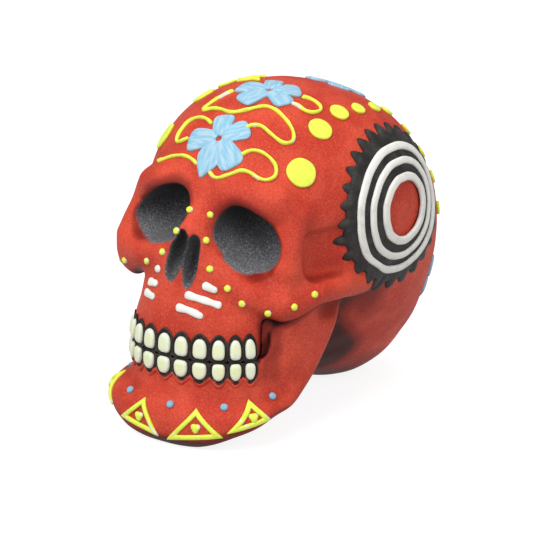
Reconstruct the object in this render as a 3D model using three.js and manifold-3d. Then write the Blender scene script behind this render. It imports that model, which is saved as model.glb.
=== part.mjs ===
// Painted sugar skull ornament, cast in resin: a brain case with its face, a lower jaw bonded under it,
// two bands of teeth, and raised ornaments that are glued to the skin.
// Millimetres, +Z up, face towards -Y. The origin is under the middle of the skull, on the table.
import * as THREE from "three";
import { mergeVertices } from "three/addons/utils/BufferGeometryUtils.js";
import Module from "manifold-3d";

const wasm = await Module();
wasm.setup();

// Glue line under every piece that sits on another one, and how far the castings' flat facets are kept
// under the true skin, so that they stay clear of what is glued to it. The brain case starts as a ball with
// this many cuts along each edge of an icosahedron.
const glueLine = 0.3;
const facetInset = 0.35;
const ballDetail = 20;

// Swellings of the brain case and the face: centre and half lengths.
const parietal = { centre: [0, 20, 76], half: [55.6, 59.4, 49.9] };
const parietalBoss = { centre: [21, 12, 92], half: [31.5, 36, 31.6] };
const frontal = { centre: [0, -6, 89], half: [46.5, 50, 43.4] };
const occiput = { centre: [0, 38, 46], half: [43, 41.8, 48.5] };
const faceCore = { centre: [0, -34, 73], half: [32, 22, 30] };
const noseBlock = { centre: [0, -56, 75], half: [10.5, 13.5, 15] };

// Dents that are cut into them: the temple behind the socket's rim, and the neck behind the lower jaw.
const temple = { centre: [57, -34, 77.5], half: [16, 15, 16] };
const neckDent = { centre: [46, -8, 32], half: [15, 13, 20] };

// Ridges of bone on the +X side: points along the crest, and the radius at each.
const browRidge = {
  points: [[3, -48, 99], [20, -50, 99], [30, -46, 96.5], [34.5, -42, 90], [36, -45, 79], [36, -47, 71]],
  radii: [3.5, 4.5, 4.5, 4.2, 4.2, 5],
};
const cheekArch = {
  points: [[12, -60, 70], [24, -56, 64.5], [35, -49, 61], [42.5, -36, 60.5], [46.5, -22, 60], [47, -10, 58]],
  radii: [4, 6, 6.8, 5.5, 4.8, 4],
};
const nasalBones = { points: [[0, -48, 99], [0, -63, 85]], radii: [3, 3.6] };

// How softly each form runs into the ones before it.
const frontalBlend = 20;
const bossBlend = 10;
const napeBlend = 24;
const faceBlend = 12;
const ridgeBlend = 10;
const templeBlend = 2.5;
const neckBlend = 6;
const noseBlend = 6;
const jawRootBlend = 7;
const jawBlend = 5;

// The skull is modelled by hand, and its left cheek and socket sit higher than the right ones: how much,
// the height where that is most, how far up and down it fades, how far out it is reached,
// and how far ahead of the skull's middle it starts and is reached. It stops above the teeth.
const leftLift = { most: 5.2, height: 66, fade: 15, reach: 26, ahead: [25, 50] };

// Its left cheek bone also stands further out: how much, the height where that is most, how far up and down
// it fades, and how far from the middle it starts and is reached.
const leftFlare = { most: 3.2, height: 77, fade: 9, reach: [16, 34] };

// The right cheek bone hangs lower at its front: how much, how far out that is reached, and how far ahead of
// the skull's middle it starts and is reached.
const cheekDrop = { most: 4.2, reach: 24, ahead: [34, 50] };

// Eye sockets and nostrils, given on the +X side. Power 2 is an ellipsoid, and more is boxier.
const rightSocket = { centre: [21.7, -58, 81.8], half: [9.7, 28, 14.1], power: 2.5, turn: [0, -43, 6] };
const leftSocket = { centre: [18, -58, 85.8], half: [16.4, 28, 10.9], power: 2.8, turn: [0, 30, 6] };
const rightNostril = { centre: [4.6, -70, 74.4], half: [2.7, 9, 11.2], power: 2, turn: [8, 4, 0] };
const leftNostril = { centre: [2.6, -70, 75], half: [3.3, 10, 11.6], power: 2, turn: [8, -19, 0] };

// Upper jaw: a horseshoe in plan, open towards the back, that hangs down to the bite.
const biteHeight = 35.3;
const biteGap = 0.4;
const toothArchBack = -42;
const toothArchPower = 2.3;
const toothArchHalfWidth = 33;
const toothArchFront = -73.5;
const upperJawFront = [[33, toothArchFront], [51, -72], [65, -68], [75, -62]];
const upperJawHalfWidth = [[39, toothArchHalfWidth], [51, 30], [62, 23]];
const upperJawTop = 73;
const jawRear = -12;

// Both jaws turn in behind the last tooth, at this corner and square to this direction in plan.
// A narrower root of the upper jaw carries on behind it.
const jawCorner = { at: [30.6, -57.5], out: [0.84, 0.54], round: 2.5 };
const jawRoot = { halfWidth: 21.5, front: -61.5, foot: 31, round: 2 };

// Lower jaw: the base from the chin to the angle, the gum that carries the teeth, and the ramus.
// The left ramus sits further in and further back than the right one.
const jawBaseBack = -32;
const jawBaseHalfWidth = [[6, 44.5], [14, 43.2], [22, 40.5]];
const jawBaseFront = [[0, -78], [5, -81], [17, -79.5], [29, -73]];
const jawBasePower = 2.7;
const jawBaseTop = 19;
const jawBowHalfWidth = 32;
const jawBowFront = -66;
const gumWall = 11;
const ramusBack = -16;
const ramusHalfWidth = 43.5;
const ramusFront = -66;
const ramusPower = 2.5;
const ramusWall = 8.5;
const ramusEdge = { y: -52, z: 44.6, slope: 0.77 };
const ramusInside = 32;
const ramusTop = 61;
const leftRamus = { inwards: 4.5, backwards: 8 };
const ramusDent = { centre: [47, -27, 52], half: [7, 15, 7] };
const chinMiddle = -80;
const lowerBorder = [[0, -1], [12, -0.6], [25, 4.6], [43, 11.7], [55, 16.8], [64, 26.5], [78, 49], [90, 69]];

// Teeth: five each side of the middle, as angles round the tooth arch, and the height of each row.
const toothEdges = [0, 14.5, 28.5, 40.5, 51, 60.5];
const upperToothHeight = 9.4;
const lowerToothHeight = 8.2;
const toothClearance = 0.5;
const toothThick = 2.2;
const toothGapThick = 0.9;
const toothShoulder = 0.2;
const upperToothTop = biteHeight + toothClearance + upperToothHeight;

// Rosette on each temple: a toothed plate with three rings on it, centred on the widest part.
// The left one sits further back and lower: how far along the skull and up each centre lies.
const rosetteCentre = { right: [9.2, 80.6], left: [19, 78], tilt: 6 };
const cogTeeth = 28;
const cogTipRadius = 33.5;
const cogRootRadius = 29.5;
const cogRimRadius = 27.2;
const cogHoleRadius = 11.6;
const cogThick = 1.2;
const ringThick = 1;
const ringSegments = 2 * cogTeeth;
const rings = [
  { name: "outer", inner: 23, outer: 25.9 },
  { name: "middle", inner: 17.6, outer: 20.3 },
  { name: "inner", inner: 11.1, outer: 14.3 },
];

// Discs: an arc of shrinking discs over each rosette and down behind it, on the right side.
// The left arc lies nearer the middle and further back.
const discThick = 1;
const discSides = 12;
const leftArcShift = [5, 9, 0];
const discs = [
  { at: [34.8, -35.4, 107.5], radius: 6 },
  { at: [31.6, -17.3, 120.6], radius: 5 },
  { at: [32.3, -2.8, 126], radius: 4.1 },
  { at: [34.5, 8.8, 126], radius: 3.1 },
  { at: [34.5, 22, 124], radius: 2.9 },
  { at: [33, 34, 119], radius: 2.8 },
  { at: [36.5, 45, 110], radius: 2.8 },
  { at: [39.5, 52.5, 99], radius: 2.8 },
  { at: [43.5, 55, 88], radius: 2.8 },
  { at: [46.5, 54.5, 75], radius: 2.8 },
];

// Flowers: where each middle lies, which way is up on it, and the turn and length of every petal.
const flowerThick = 1.6;
const flowerWaist = 5.5;
const petalSpread = 27;
const evenPetals = [0, 72, 144, 216, 288].map((turn) => ({ turn: 90 + turn, length: 13 }));
const flowers = [
  {
    name: "forehead",
    at: [1.2, -44, 118],
    up: [0, 0, 1],
    petals: [
      { turn: 37, length: 11.5 },
      { turn: 102, length: 11 },
      { turn: 186, length: 14.5 },
      { turn: 264, length: 15.5 },
      { turn: 316, length: 13.5 },
    ],
  },
  {
    name: "top",
    at: [5.6, -14, 133],
    up: [0, 1, 0],
    petals: [
      { turn: 42, length: 12 },
      { turn: 110, length: 10 },
      { turn: 182, length: 14.5 },
      { turn: 246, length: 12.5 },
      { turn: 336, length: 11 },
    ],
  },
  { name: "crown", at: [9, 33, 128], up: [0, 1, 0], petals: evenPetals },
  { name: "back", at: [0, 78, 80], up: [0, 0, 1], petals: evenPetals },
  { name: "right_nape", at: [31, 59, 47], up: [0, 0, 1], petals: evenPetals },
  { name: "left_nape", at: [-31, 59, 47], up: [0, 0, 1], petals: evenPetals },
];

// Scrolls: piped lines on the forehead and crown, as points in plan.
const scrollWidth = 1.5;
const scrollThick = 1.3;
const scrollSteps = 20;
const scrolls = [
  {
    name: "over_brow",
    plan: [
      [-12, -19], [-14.5, -21.5], [-16, -26], [-14.5, -29.5], [-9, -30], [0, -32.5], [7, -28.5],
      [13, -24.5], [20, -25], [26, -29], [25.5, -33], [18, -33.5], [13, -34.5],
    ],
  },
  {
    name: "left_loop",
    plan: [[-10, -35.7], [-13, -34.7], [-17.5, -34.5], [-21, -37], [-21, -40.5], [-17, -42.7]],
  },
  {
    name: "left_tail",
    plan: [[-26.5, -45.5], [-21, -47], [-15.5, -47.5], [-11, -48.5], [-7, -49.5]],
  },
  {
    name: "right_loop",
    plan: [
      [5.5, -53.6], [10, -53.2], [16, -49.5], [20, -48.5], [24, -47.3], [26.5, -44.5],
      [27, -41], [25, -39.5], [21.5, -40], [17, -42],
    ],
  },
  {
    name: "right_crown",
    plan: [[19, -8.5], [21, -7], [24, -6.5], [26.5, -8], [26.5, -12], [24, -15], [20, -14.7]],
  },
  {
    name: "left_crown",
    plan: [[-5.5, -3.8], [-10.6, -2], [-14, -2], [-17.5, -1], [-19, 2], [-17, 5], [-12.5, 6], [-8, 5]],
  },
];

// Dashes beside the nose: the two ends of each, seen from the front.
const dashWidth = 2.6;
const dashThick = 1.1;
const dashes = [
  { name: "right_upper", ends: [[9.5, 65.1], [15, 62.9]] },
  { name: "right_middle", ends: [[3.2, 60.6], [17, 57.3]] },
  { name: "right_lower", ends: [[0.2, 55.3], [11.7, 53]] },
  { name: "left_upper", ends: [[-11.6, 69], [-13, 66]] },
  { name: "left_middle", ends: [[-11.2, 61.9], [-17.4, 61.3]] },
  { name: "left_lower", ends: [[-11.6, 56.6], [-18.4, 57.2]] },
];

// Chin: triangle frames and dots, as angles round the jaw and heights. Each pair of frames has its right
// and its left angle, as the pattern sits a little to one side.
// A width on the chin turns into an angle by the chin's own radius. A frame's foot leans up towards the jaw's
// angle, by its lean at each corner.
const chinRound = 51;
const triangleWall = 1.7;
const triangleThick = 1.2;
const innerTriangles = { angles: [21.6, -14.8], halfWidth: 16, foot: 5.8, lean: 0.8, peak: 18 };
const outerTriangles = { angles: [51, -54], halfWidth: 11, foot: 11.7, lean: 1.9, peak: 20.6 };
const chinDotRadius = 1.7;
const chinDotThick = 1.2;
const chinDotSides = 8;
const chinDots = [
  { name: "middle", angle: 3.4, height: 18 },
  { name: "right_near", angle: 37.4, height: 19 },
  { name: "left_near", angle: -30.6, height: 19 },
  { name: "right_far", angle: 68.4, height: 19 },
  { name: "left_far", angle: -66, height: 19 },
];

// Colours of the paint.
function paint(name, color, roughness) {
  return new THREE.MeshStandardMaterial({ name, color, roughness, metalness: 0 });
}

const redPaint = paint("red_paint", 0xc43a26, 0.62);
const bonePaint = paint("tooth_paint", 0xe4e6cf, 0.5);
const blackPaint = paint("black_paint", 0x2a2827, 0.6);
const whitePaint = paint("white_paint", 0xe9e6de, 0.55);
const yellowPaint = paint("yellow_paint", 0xe6d92c, 0.55);
const bluePaint = paint("blue_paint", 0x8fc1dd, 0.6);

// Fields: negative inside a form, positive outside, and close to millimetres near its skin.

// Union or intersection of two fields with a fillet about k wide.
function softMin(a, b, k) {
  const h = Math.max(k - Math.abs(a - b), 0) / k;
  return Math.min(a, b) - (h * h * k) / 4;
}

function softMax(a, b, k) {
  return -softMin(-a, -b, k);
}

function ellipsoid(p, { centre, half }) {
  const q = p.map((v, i) => (v - centre[i]) / half[i]);
  const reach = Math.hypot(...q);
  const slope = Math.hypot(...q.map((v, i) => v / half[i]));
  return (reach * (reach - 1)) / (slope + 1e-9);
}

// A crest that follows straight stretches between its points and tapers from radius to radius.
function ridge(p, { points, radii }) {
  let nearest = Infinity;
  for (let i = 0; i + 1 < points.length; i++) {
    const along = points[i + 1].map((v, k) => v - points[i][k]);
    const from = p.map((v, k) => v - points[i][k]);
    const dot = from[0] * along[0] + from[1] * along[1] + from[2] * along[2];
    const t = THREE.MathUtils.clamp(dot / (along[0] ** 2 + along[1] ** 2 + along[2] ** 2), 0, 1);
    const gap = Math.hypot(...from.map((v, k) => v - t * along[k]));
    nearest = Math.min(nearest, gap - THREE.MathUtils.lerp(radii[i], radii[i + 1], t));
  }
  return nearest;
}

// A horseshoe in plan: a rounded front, and straight sides behind the line y = back.
function horseshoe(p, back, halfWidth, front, power) {
  const depth = back - front;
  const ahead = Math.max(back - p[1], 0);
  const reach = ((Math.abs(p[0]) / halfWidth) ** power + (ahead / depth) ** power) ** (1 / power);
  return (reach - 1) * Math.min(halfWidth, depth);
}

// A smooth curve through [place, value] pairs, level outside them.
function profile(place, pairs) {
  const last = pairs.length - 1;
  if (place <= pairs[0][0]) return pairs[0][1];
  if (place >= pairs[last][0]) return pairs[last][1];
  const i = pairs.findIndex((pair) => pair[0] > place) - 1;
  const slope = (k) => {
    const [a, b] = [pairs[Math.max(k - 1, 0)], pairs[Math.min(k + 1, last)]];
    return (b[1] - a[1]) / (b[0] - a[0]);
  };
  const step = pairs[i + 1][0] - pairs[i][0];
  const t = (place - pairs[i][0]) / step;
  const rise = t * t * (3 - 2 * t);
  const bend = step * (t * (1 - t) ** 2 * slope(i) - t * t * (1 - t) * slope(i + 1));
  return pairs[i][1] + rise * (pairs[i + 1][1] - pairs[i][1]) + bend;
}

// How much higher a point of the left half sits than its twin on the right.
function liftAt(x, y, z) {
  const outwards = THREE.MathUtils.smoothstep(-x, 0, leftLift.reach);
  const forwards = THREE.MathUtils.smoothstep(-y, ...leftLift.ahead);
  const upwards = THREE.MathUtils.smoothstep(z - upperToothTop, 0, leftLift.fade);
  const swell = Math.exp(-(((z - leftLift.height) / leftLift.fade) ** 2));
  return leftLift.most * outwards * forwards * upwards * swell;
}

// How much further out a point of the left half sits than its twin on the right.
function flareAt(x, y, z) {
  const outwards = THREE.MathUtils.smoothstep(-x, ...leftFlare.reach);
  const forwards = THREE.MathUtils.smoothstep(-y, ...leftLift.ahead);
  const swell = Math.exp(-(((z - leftFlare.height) / leftFlare.fade) ** 2));
  return leftFlare.most * outwards * forwards * swell;
}

// How much lower the cheek bone hangs at a point of the right half.
function dropAt(x, y) {
  const outwards = THREE.MathUtils.smoothstep(x, 0, cheekDrop.reach);
  return cheekDrop.most * outwards * THREE.MathUtils.smoothstep(-y, ...cheekDrop.ahead);
}

// How far a point lies beyond the corner behind the last tooth.
function pastCorner([x, y]) {
  return jawCorner.out[0] * (x - jawCorner.at[0]) + jawCorner.out[1] * (y - jawCorner.at[1]);
}

// The brain case, face and upper jaw without their hollows.
function skullField([x, y, height]) {
  const z = height - liftAt(x, y, height);
  const p = [Math.abs(x) - flareAt(x, y, height), y, z];
  let d = softMin(ellipsoid(p, parietal), ellipsoid(p, frontal), frontalBlend);
  d = softMin(d, ellipsoid(p, parietalBoss), bossBlend);
  d = softMin(d, ellipsoid(p, occiput), napeBlend);
  d = softMin(d, ellipsoid(p, faceCore), faceBlend);
  d = softMin(d, ridge(p, browRidge), ridgeBlend);
  d = softMin(d, ridge([p[0], y, z + dropAt(x, y)], cheekArch), ridgeBlend);
  d = softMax(d, -ellipsoid(p, temple), templeBlend);
  d = softMax(d, -ellipsoid(p, neckDent), neckBlend);
  d = softMin(d, ridge(p, nasalBones), noseBlend);
  d = softMin(d, ellipsoid(p, noseBlock), noseBlend);
  let root = horseshoe(p, toothArchBack, jawRoot.halfWidth, jawRoot.front, toothArchPower);
  root = softMax(root, Math.max(jawRoot.foot - z, z - upperJawTop), jawRoot.round);
  d = softMin(d, softMax(root, y - jawRear, 4), jawRootBlend);
  const front = profile(z, upperJawFront);
  let jaw = horseshoe(p, toothArchBack, profile(z, upperJawHalfWidth), front, toothArchPower);
  jaw = softMax(jaw, Math.max(biteHeight + biteGap / 2 - z, z - upperJawTop), 1.5);
  jaw = softMax(jaw, pastCorner(p), jawCorner.round);
  return softMin(d, jaw, jawBlend);
}

// The lower jaw, before it is trimmed to the skull above it.
function jawField([x, y, z]) {
  const p = [Math.abs(x), y, z];
  const baseHalfWidth = profile(z, jawBaseHalfWidth);
  const outerBase = horseshoe(p, jawBaseBack, baseHalfWidth, profile(z, jawBaseFront), jawBasePower);
  const innerBase = horseshoe(p, jawBaseBack, jawBowHalfWidth, jawBowFront, 2.5);
  let base = softMax(outerBase, -innerBase, 3);
  base = softMax(softMax(base, z - jawBaseTop, 6), y - jawBaseBack, 6);

  const archOf = (wall) =>
    horseshoe(p, toothArchBack, toothArchHalfWidth - wall, toothArchFront + wall, toothArchPower);
  let gum = softMax(archOf(0), -archOf(gumWall), 3);
  gum = softMax(softMax(gum, z - (biteHeight - biteGap / 2), 1.5), pastCorner(p), jawCorner.round);

  const r = x < 0 ? [p[0] + leftRamus.inwards, y - leftRamus.backwards, z] : p;
  const sideOf = (wall) => horseshoe(r, ramusBack, ramusHalfWidth - wall, ramusFront + wall, ramusPower);
  const beforeEdge = ramusEdge.y + ramusEdge.slope * (z - ramusEdge.z) - r[1];
  let ramus = softMax(sideOf(0), -sideOf(ramusWall), 3);
  ramus = softMax(ramus, beforeEdge / Math.hypot(1, ramusEdge.slope), 3);
  ramus = softMax(softMax(ramus, z - ramusTop, 3), ramusInside - r[0], 3);
  ramus = softMax(softMax(ramus, r[1] - jawRear, 3), -ellipsoid(r, ramusDent), 3);

  const border = profile(Math.hypot(x, y - chinMiddle), lowerBorder);
  const d = softMin(softMin(base, gum, 8), ramus, 6);
  return softMax(softMax(d, (border - z) * 0.75, 5), -z, 1);
}

// Finds where a straight line first meets a level of a field, by stepping and then halving.
function meet(field, from, towards, level = 0, step = 1, reach = 200) {
  const at = (t) => from.map((v, i) => v + t * towards[i]);
  const outside = field(from) > level;
  let far = step;
  while (far < reach && field(at(far)) > level === outside) far += step;
  let near = far - step;
  for (let k = 0; k < 24; k++) {
    const middle = (near + far) / 2;
    if (field(at(middle)) > level === outside) near = middle;
    else far = middle;
  }
  return at((near + far) / 2);
}

// The outward direction of a field at a point.
function normalAt(field, p) {
  const h = 0.3;
  const slope = [0, 1, 2].map((i) => {
    const shifted = (s) => p.map((v, k) => (k === i ? v + s : v));
    return field(shifted(h)) - field(shifted(-h));
  });
  const size = Math.hypot(...slope);
  return slope.map((v) => v / size);
}

// Solids and meshes

function toSolid(geometry) {
  const bare = geometry.clone();
  bare.deleteAttribute("normal");
  bare.deleteAttribute("uv");
  const merged = mergeVertices(bare, 1e-4);
  const vertProperties = new Float32Array(merged.attributes.position.array);
  const triVerts = new Uint32Array(merged.index.array);
  return new wasm.Manifold(new wasm.Mesh({ numProp: 3, vertProperties, triVerts }));
}

function toGeometry(solid) {
  const { vertProperties, triVerts } = solid.getMesh();
  const geometry = new THREE.BufferGeometry();
  geometry.setAttribute("position", new THREE.BufferAttribute(vertProperties, 3));
  geometry.setIndex(new THREE.BufferAttribute(triVerts, 1));
  geometry.computeVertexNormals();
  return geometry;
}

// A closed mesh from points and triangles, turned so that its faces point outwards.
function closedGeometry(points, triangles) {
  let volume = 0;
  for (const [a, b, c] of triangles) {
    const [p, q, r] = [a, b, c].map((i) => new THREE.Vector3(...points[i]));
    volume += p.dot(q.cross(r));
  }
  const faces = volume > 0 ? triangles : triangles.map(([a, b, c]) => [a, c, b]);
  const geometry = new THREE.BufferGeometry();
  geometry.setAttribute("position", new THREE.Float32BufferAttribute(points.flat(), 3));
  geometry.setIndex(faces.flat());
  geometry.computeVertexNormals();
  return geometry;
}

// A thin piece that follows the skin. Rows of skin points run across it, each from one end to the other
// or right round if closed, and a hub point closes the middle of round pieces.
// Every point has its place, its outward direction and its own thickness.
function onSkin(rows, { lift, closed = false, hub = null }) {
  const count = rows[0].length;
  const cells = rows.flat().concat(hub ? [hub] : []);
  const raise = ({ place, out }, h) => place.map((v, i) => v + h * out[i]);
  const points = [
    ...cells.map((cell) => raise(cell, lift)),
    ...cells.map((cell) => raise(cell, lift + cell.thick)),
  ];
  const above = cells.length;
  const triangles = [];
  const quad = (a, b, c, d) => triangles.push([a, b, c], [a, c, d]);
  const wall = (a, b) => quad(a, b, b + above, a + above);
  const at = (row, k) => row * count + (k % count);
  const spans = closed ? count : count - 1;
  for (let row = 0; row + 1 < rows.length; row++) {
    for (let k = 0; k < spans; k++) {
      const [a, b, c, d] = [at(row, k), at(row, k + 1), at(row + 1, k + 1), at(row + 1, k)];
      quad(a, d, c, b);
      quad(a + above, b + above, c + above, d + above);
    }
    if (!closed) {
      wall(at(row + 1, 0), at(row, 0));
      wall(at(row, count - 1), at(row + 1, count - 1));
    }
  }
  const outer = rows.length - 1;
  for (let k = 0; k < spans; k++) {
    const [a, b] = [at(0, k), at(0, k + 1)];
    wall(at(outer, k + 1), at(outer, k));
    if (hub) triangles.push([above - 1, a, b], [2 * above - 1, b + above, a + above]);
    else wall(a, b);
  }
  return closedGeometry(points, triangles);
}

// Where the skin of the skull is met, seen from above or from the front.
const clearOf = 150;
const pressHeight = 4;
const fromAbove = ([x, y]) => meet(skullField, [x, y, clearOf], [0, 0, -1]);
const fromFront = ([x, z]) => meet(skullField, [x, -clearOf, z], [0, 1, 0]);

// Moves a point that is near the skin onto it, by the shortest way.
function settle(field, near) {
  let place = near;
  for (let k = 0; k < 6; k++) {
    const out = normalAt(field, place);
    const gap = field(place);
    place = place.map((v, i) => v - gap * out[i]);
  }
  return place;
}

// The same round a jaw: an angle from the middle of the face, and a height.
function roundJaw(field, axisY, [angle, z]) {
  const turn = THREE.MathUtils.degToRad(angle);
  const out = [Math.sin(turn), -Math.cos(turn), 0];
  return meet(field, [clearOf * out[0], axisY + clearOf * out[1], z], [-out[0], -out[1], 0]);
}

// The same beside a temple: along the skull and up, measured from the rosette's centre.
function besideTemple(side, [along, up]) {
  const tilt = THREE.MathUtils.degToRad(rosetteCentre.tilt);
  const out = [side * Math.cos(tilt), 0, Math.sin(tilt)];
  const rise = [-side * Math.sin(tilt), 0, Math.cos(tilt)];
  const [middle, height] = side > 0 ? rosetteCentre.right : rosetteCentre.left;
  const start = [0, middle + along, height].map((v, i) => v + clearOf * out[i] + up * rise[i]);
  return meet(skullField, start, out.map((v) => -v));
}

function skinPoint(field, place, thick) {
  return { place, out: normalAt(field, place), thick };
}

// A round or petalled piece, laid out flat at its middle and pressed on to the skin from there.
// Its outline is a list of [angle, reach] pairs, and each share of the reach gives a ring of points.
function patch(field, middle, up, outline, thick, shares) {
  const hub = skinPoint(field, middle, thick);
  const normal = new THREE.Vector3(...hub.out);
  const across = new THREE.Vector3(...up).cross(normal).normalize();
  const along = normal.clone().cross(across);
  const rows = shares.map((share) =>
    outline.map(([angle, reach]) => {
      const offset = across.clone().multiplyScalar(share * reach * Math.cos(angle));
      offset.addScaledVector(along, share * reach * Math.sin(angle)).addScaledVector(normal, pressHeight);
      const start = middle.map((v, i) => v + offset.getComponent(i));
      return skinPoint(field, meet(field, start, hub.out.map((v) => -v), 0, 0.2), thick);
    }),
  );
  return onSkin(rows, { lift: glueLine, closed: true, hub });
}

// The outline of a round piece.
function circleOutline(radius, sides) {
  return Array.from({ length: sides }, (_, k) => [(2 * Math.PI * k) / sides, radius]);
}

// A piped line of even width along points of the skin.
function ribbon(field, places, width, thick) {
  const cells = places.map((place) => skinPoint(field, place, thick));
  const edge = (side) =>
    cells.map(({ place, out }, k) => {
      const before = places[Math.max(k - 1, 0)];
      const after = places[Math.min(k + 1, places.length - 1)];
      const run = new THREE.Vector3(...after).sub(new THREE.Vector3(...before));
      const across = new THREE.Vector3(...out).cross(run).setLength((side * width) / 2);
      const beside = place.map((v, i) => v + across.getComponent(i) + pressHeight * out[i]);
      return skinPoint(field, meet(field, beside, out.map((v) => -v), 0, 0.2), thick);
    });
  return onSkin([edge(1), edge(-1)], { lift: glueLine });
}

// Pieces

const skull = new THREE.Group();
skull.name = "sugar_skull";
const sides = [["right", 1], ["left", -1]];

function add(name, geometry, material) {
  const mesh = new THREE.Mesh(geometry, material);
  mesh.name = name;
  skull.add(mesh);
  return mesh;
}

// A ball pushed out or in along its own radii until it meets a level of the skull's field.
function skullBall(detail, level) {
  const heart = [0, -12, 92];
  const ball = new THREE.IcosahedronGeometry(1, detail);
  ball.deleteAttribute("normal");
  ball.deleteAttribute("uv");
  const skin = mergeVertices(ball, 1e-5);
  const position = skin.attributes.position;
  for (let i = 0; i < position.count; i++) {
    const out = new THREE.Vector3().fromBufferAttribute(position, i).normalize().toArray();
    const start = heart.map((v, k) => v + clearOf * out[k]);
    position.setXYZ(i, ...meet(skullField, start, out.map((v) => -v), level));
  }
  return toSolid(skin);
}

// A hollow's cutter: a sphere squared off by its power, scaled, turned, put in its place, and moved with the
// uneven left half.
function hollow({ centre, half, power, turn }, side) {
  const ball = new THREE.SphereGeometry(1, 20, 14);
  const position = ball.attributes.position;
  for (let i = 0; i < position.count; i++) {
    const v = new THREE.Vector3().fromBufferAttribute(position, i);
    const size = (Math.abs(v.x) ** power + Math.abs(v.y) ** power + Math.abs(v.z) ** power) ** (1 / power);
    position.setXYZ(i, ...v.divideScalar(size).toArray().map((u, k) => u * half[k]));
  }
  const [pitch, roll, yaw] = turn.map(THREE.MathUtils.degToRad);
  const turned = new THREE.Euler(pitch, side * roll, side * yaw, "ZXY");
  ball.applyMatrix4(new THREE.Matrix4().makeRotationFromEuler(turned));
  ball.translate(side * centre[0], centre[1], centre[2]);
  for (let i = 0; i < position.count; i++) {
    const [x, y, z] = new THREE.Vector3().fromBufferAttribute(position, i).toArray();
    let place = [x, y, z];
    for (let k = 0; k < 12; k++) place = [x - flareAt(...place), y, z + liftAt(...place)];
    position.setXYZ(i, ...place);
  }
  return toSolid(ball);
}

function underTable() {
  const depth = 40;
  return toSolid(new THREE.BoxGeometry(2 * clearOf, 2 * clearOf, depth).translate(0, 0, -depth / 2));
}

function makeCranium() {
  let solid = skullBall(ballDetail, -facetInset).subtract(underTable());
  for (const cutter of [hollow(rightSocket, 1), hollow(leftSocket, -1)]) solid = solid.subtract(cutter);
  for (const cutter of [hollow(rightNostril, 1), hollow(leftNostril, -1)]) solid = solid.subtract(cutter);
  add("cranium", toGeometry(solid), redPaint);
}

// One upright cut of the jaw, at an angle from the middle of the face: the foot, the outer side going up,
// the top, and the inner side coming down.
function jawCut(axisY, angle, levels) {
  const nearest = 15;
  const farthest = 75;
  const above = 5;
  const out = [Math.sin(angle), -Math.cos(angle)];
  const place = ([r, z]) => [r * out[0], axisY + r * out[1], z];
  const across = (z) => ([r]) => jawField(place([r, z]));
  const thickest = ([z]) => {
    const depths = Array.from({ length: farthest - nearest }, (_, i) => across(z)([nearest + i]));
    return Math.min(...depths);
  };
  const step = 0.5;
  const [foot] = meet(thickest, [-above], [1], -facetInset, step);
  const [top] = meet(thickest, [ramusTop + above], [-1], -facetInset, step);
  const wall = Array.from({ length: levels - 1 }, (_, j) => {
    const share = (1 - Math.cos((Math.PI * (j + 1)) / levels)) / 2;
    const z = THREE.MathUtils.lerp(foot, top, share);
    const [inner] = meet(across(z), [nearest], [1], -facetInset, step);
    const [outer] = meet(across(z), [farthest], [-1], -facetInset, step);
    return { z, inner, outer };
  });
  const middle = ({ inner, outer }) => (inner + outer) / 2;
  return [
    [middle(wall[0]), foot],
    ...wall.map(({ outer, z }) => [outer, z]),
    [middle(wall[wall.length - 1]), top],
    ...wall.map(({ inner, z }) => [inner, z]).reverse(),
  ].map(place);
}

// The jaw is lofted through upright cuts that fan out from an axis inside its bend.
function makeMandible() {
  const axisY = -30;
  const lastAngle = THREE.MathUtils.degToRad(112);
  const stations = 37;
  const levels = 12;
  const cuts = Array.from({ length: stations }, (_, k) =>
    jawCut(axisY, lastAngle * ((2 * k) / (stations - 1) - 1), levels),
  );
  const cutPoints = cuts[0].length;
  const points = cuts.flat();
  const triangles = [];
  for (let k = 0; k + 1 < stations; k++) {
    for (let j = 0; j < cutPoints; j++) {
      const next = (j + 1) % cutPoints;
      const [a, b] = [k * cutPoints + j, k * cutPoints + next];
      triangles.push([a, b, b + cutPoints], [a, b + cutPoints, a + cutPoints]);
    }
  }
  const end = (stations - 1) * cutPoints;
  const cap = (a, b, c) => triangles.push([a, c, b], [end + a, end + b, end + c]);
  for (let j = 1; j < levels; j++) {
    cap(j, j + 1, cutPoints - j);
    if (j > 1) cap(j, cutPoints - j, cutPoints - j + 1);
    else cap(0, j, cutPoints - j);
  }
  const whole = toSolid(closedGeometry(points, triangles)).subtract(skullBall(ballDetail, glueLine));
  const bodies = whole.decompose().sort((a, b) => b.volume() - a.volume());
  add("mandible", toGeometry(bodies[0]), redPaint);
}

// One band of teeth: flat necks between the teeth, and a raised crown on each.
function makeTeeth(name, field, foot, height) {
  const edges = [...toothEdges.slice(1).reverse().map((a) => -a), ...toothEdges];
  const columns = edges.slice(0, -1).flatMap((edge, k) => {
    const width = edges[k + 1] - edge;
    return [
      { angle: edge, thick: toothGapThick },
      { angle: edge + toothShoulder * width, thick: toothThick },
      { angle: edge + (1 - toothShoulder) * width, thick: toothThick },
    ];
  });
  columns.push({ angle: edges[edges.length - 1], thick: toothGapThick });
  const rows = [0, 0.5, 1].map((share) =>
    columns.map(({ angle, thick }) => {
      const place = roundJaw(field, toothArchBack, [angle, foot + share * height]);
      const [x, y] = normalAt(field, place);
      const level = Math.hypot(x, y);
      return { place, out: [x / level, y / level, 0], thick: share === 0.5 ? thick : toothGapThick };
    }),
  );
  add(name, onSkin(rows, { lift: glueLine }), bonePaint);
}

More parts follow.
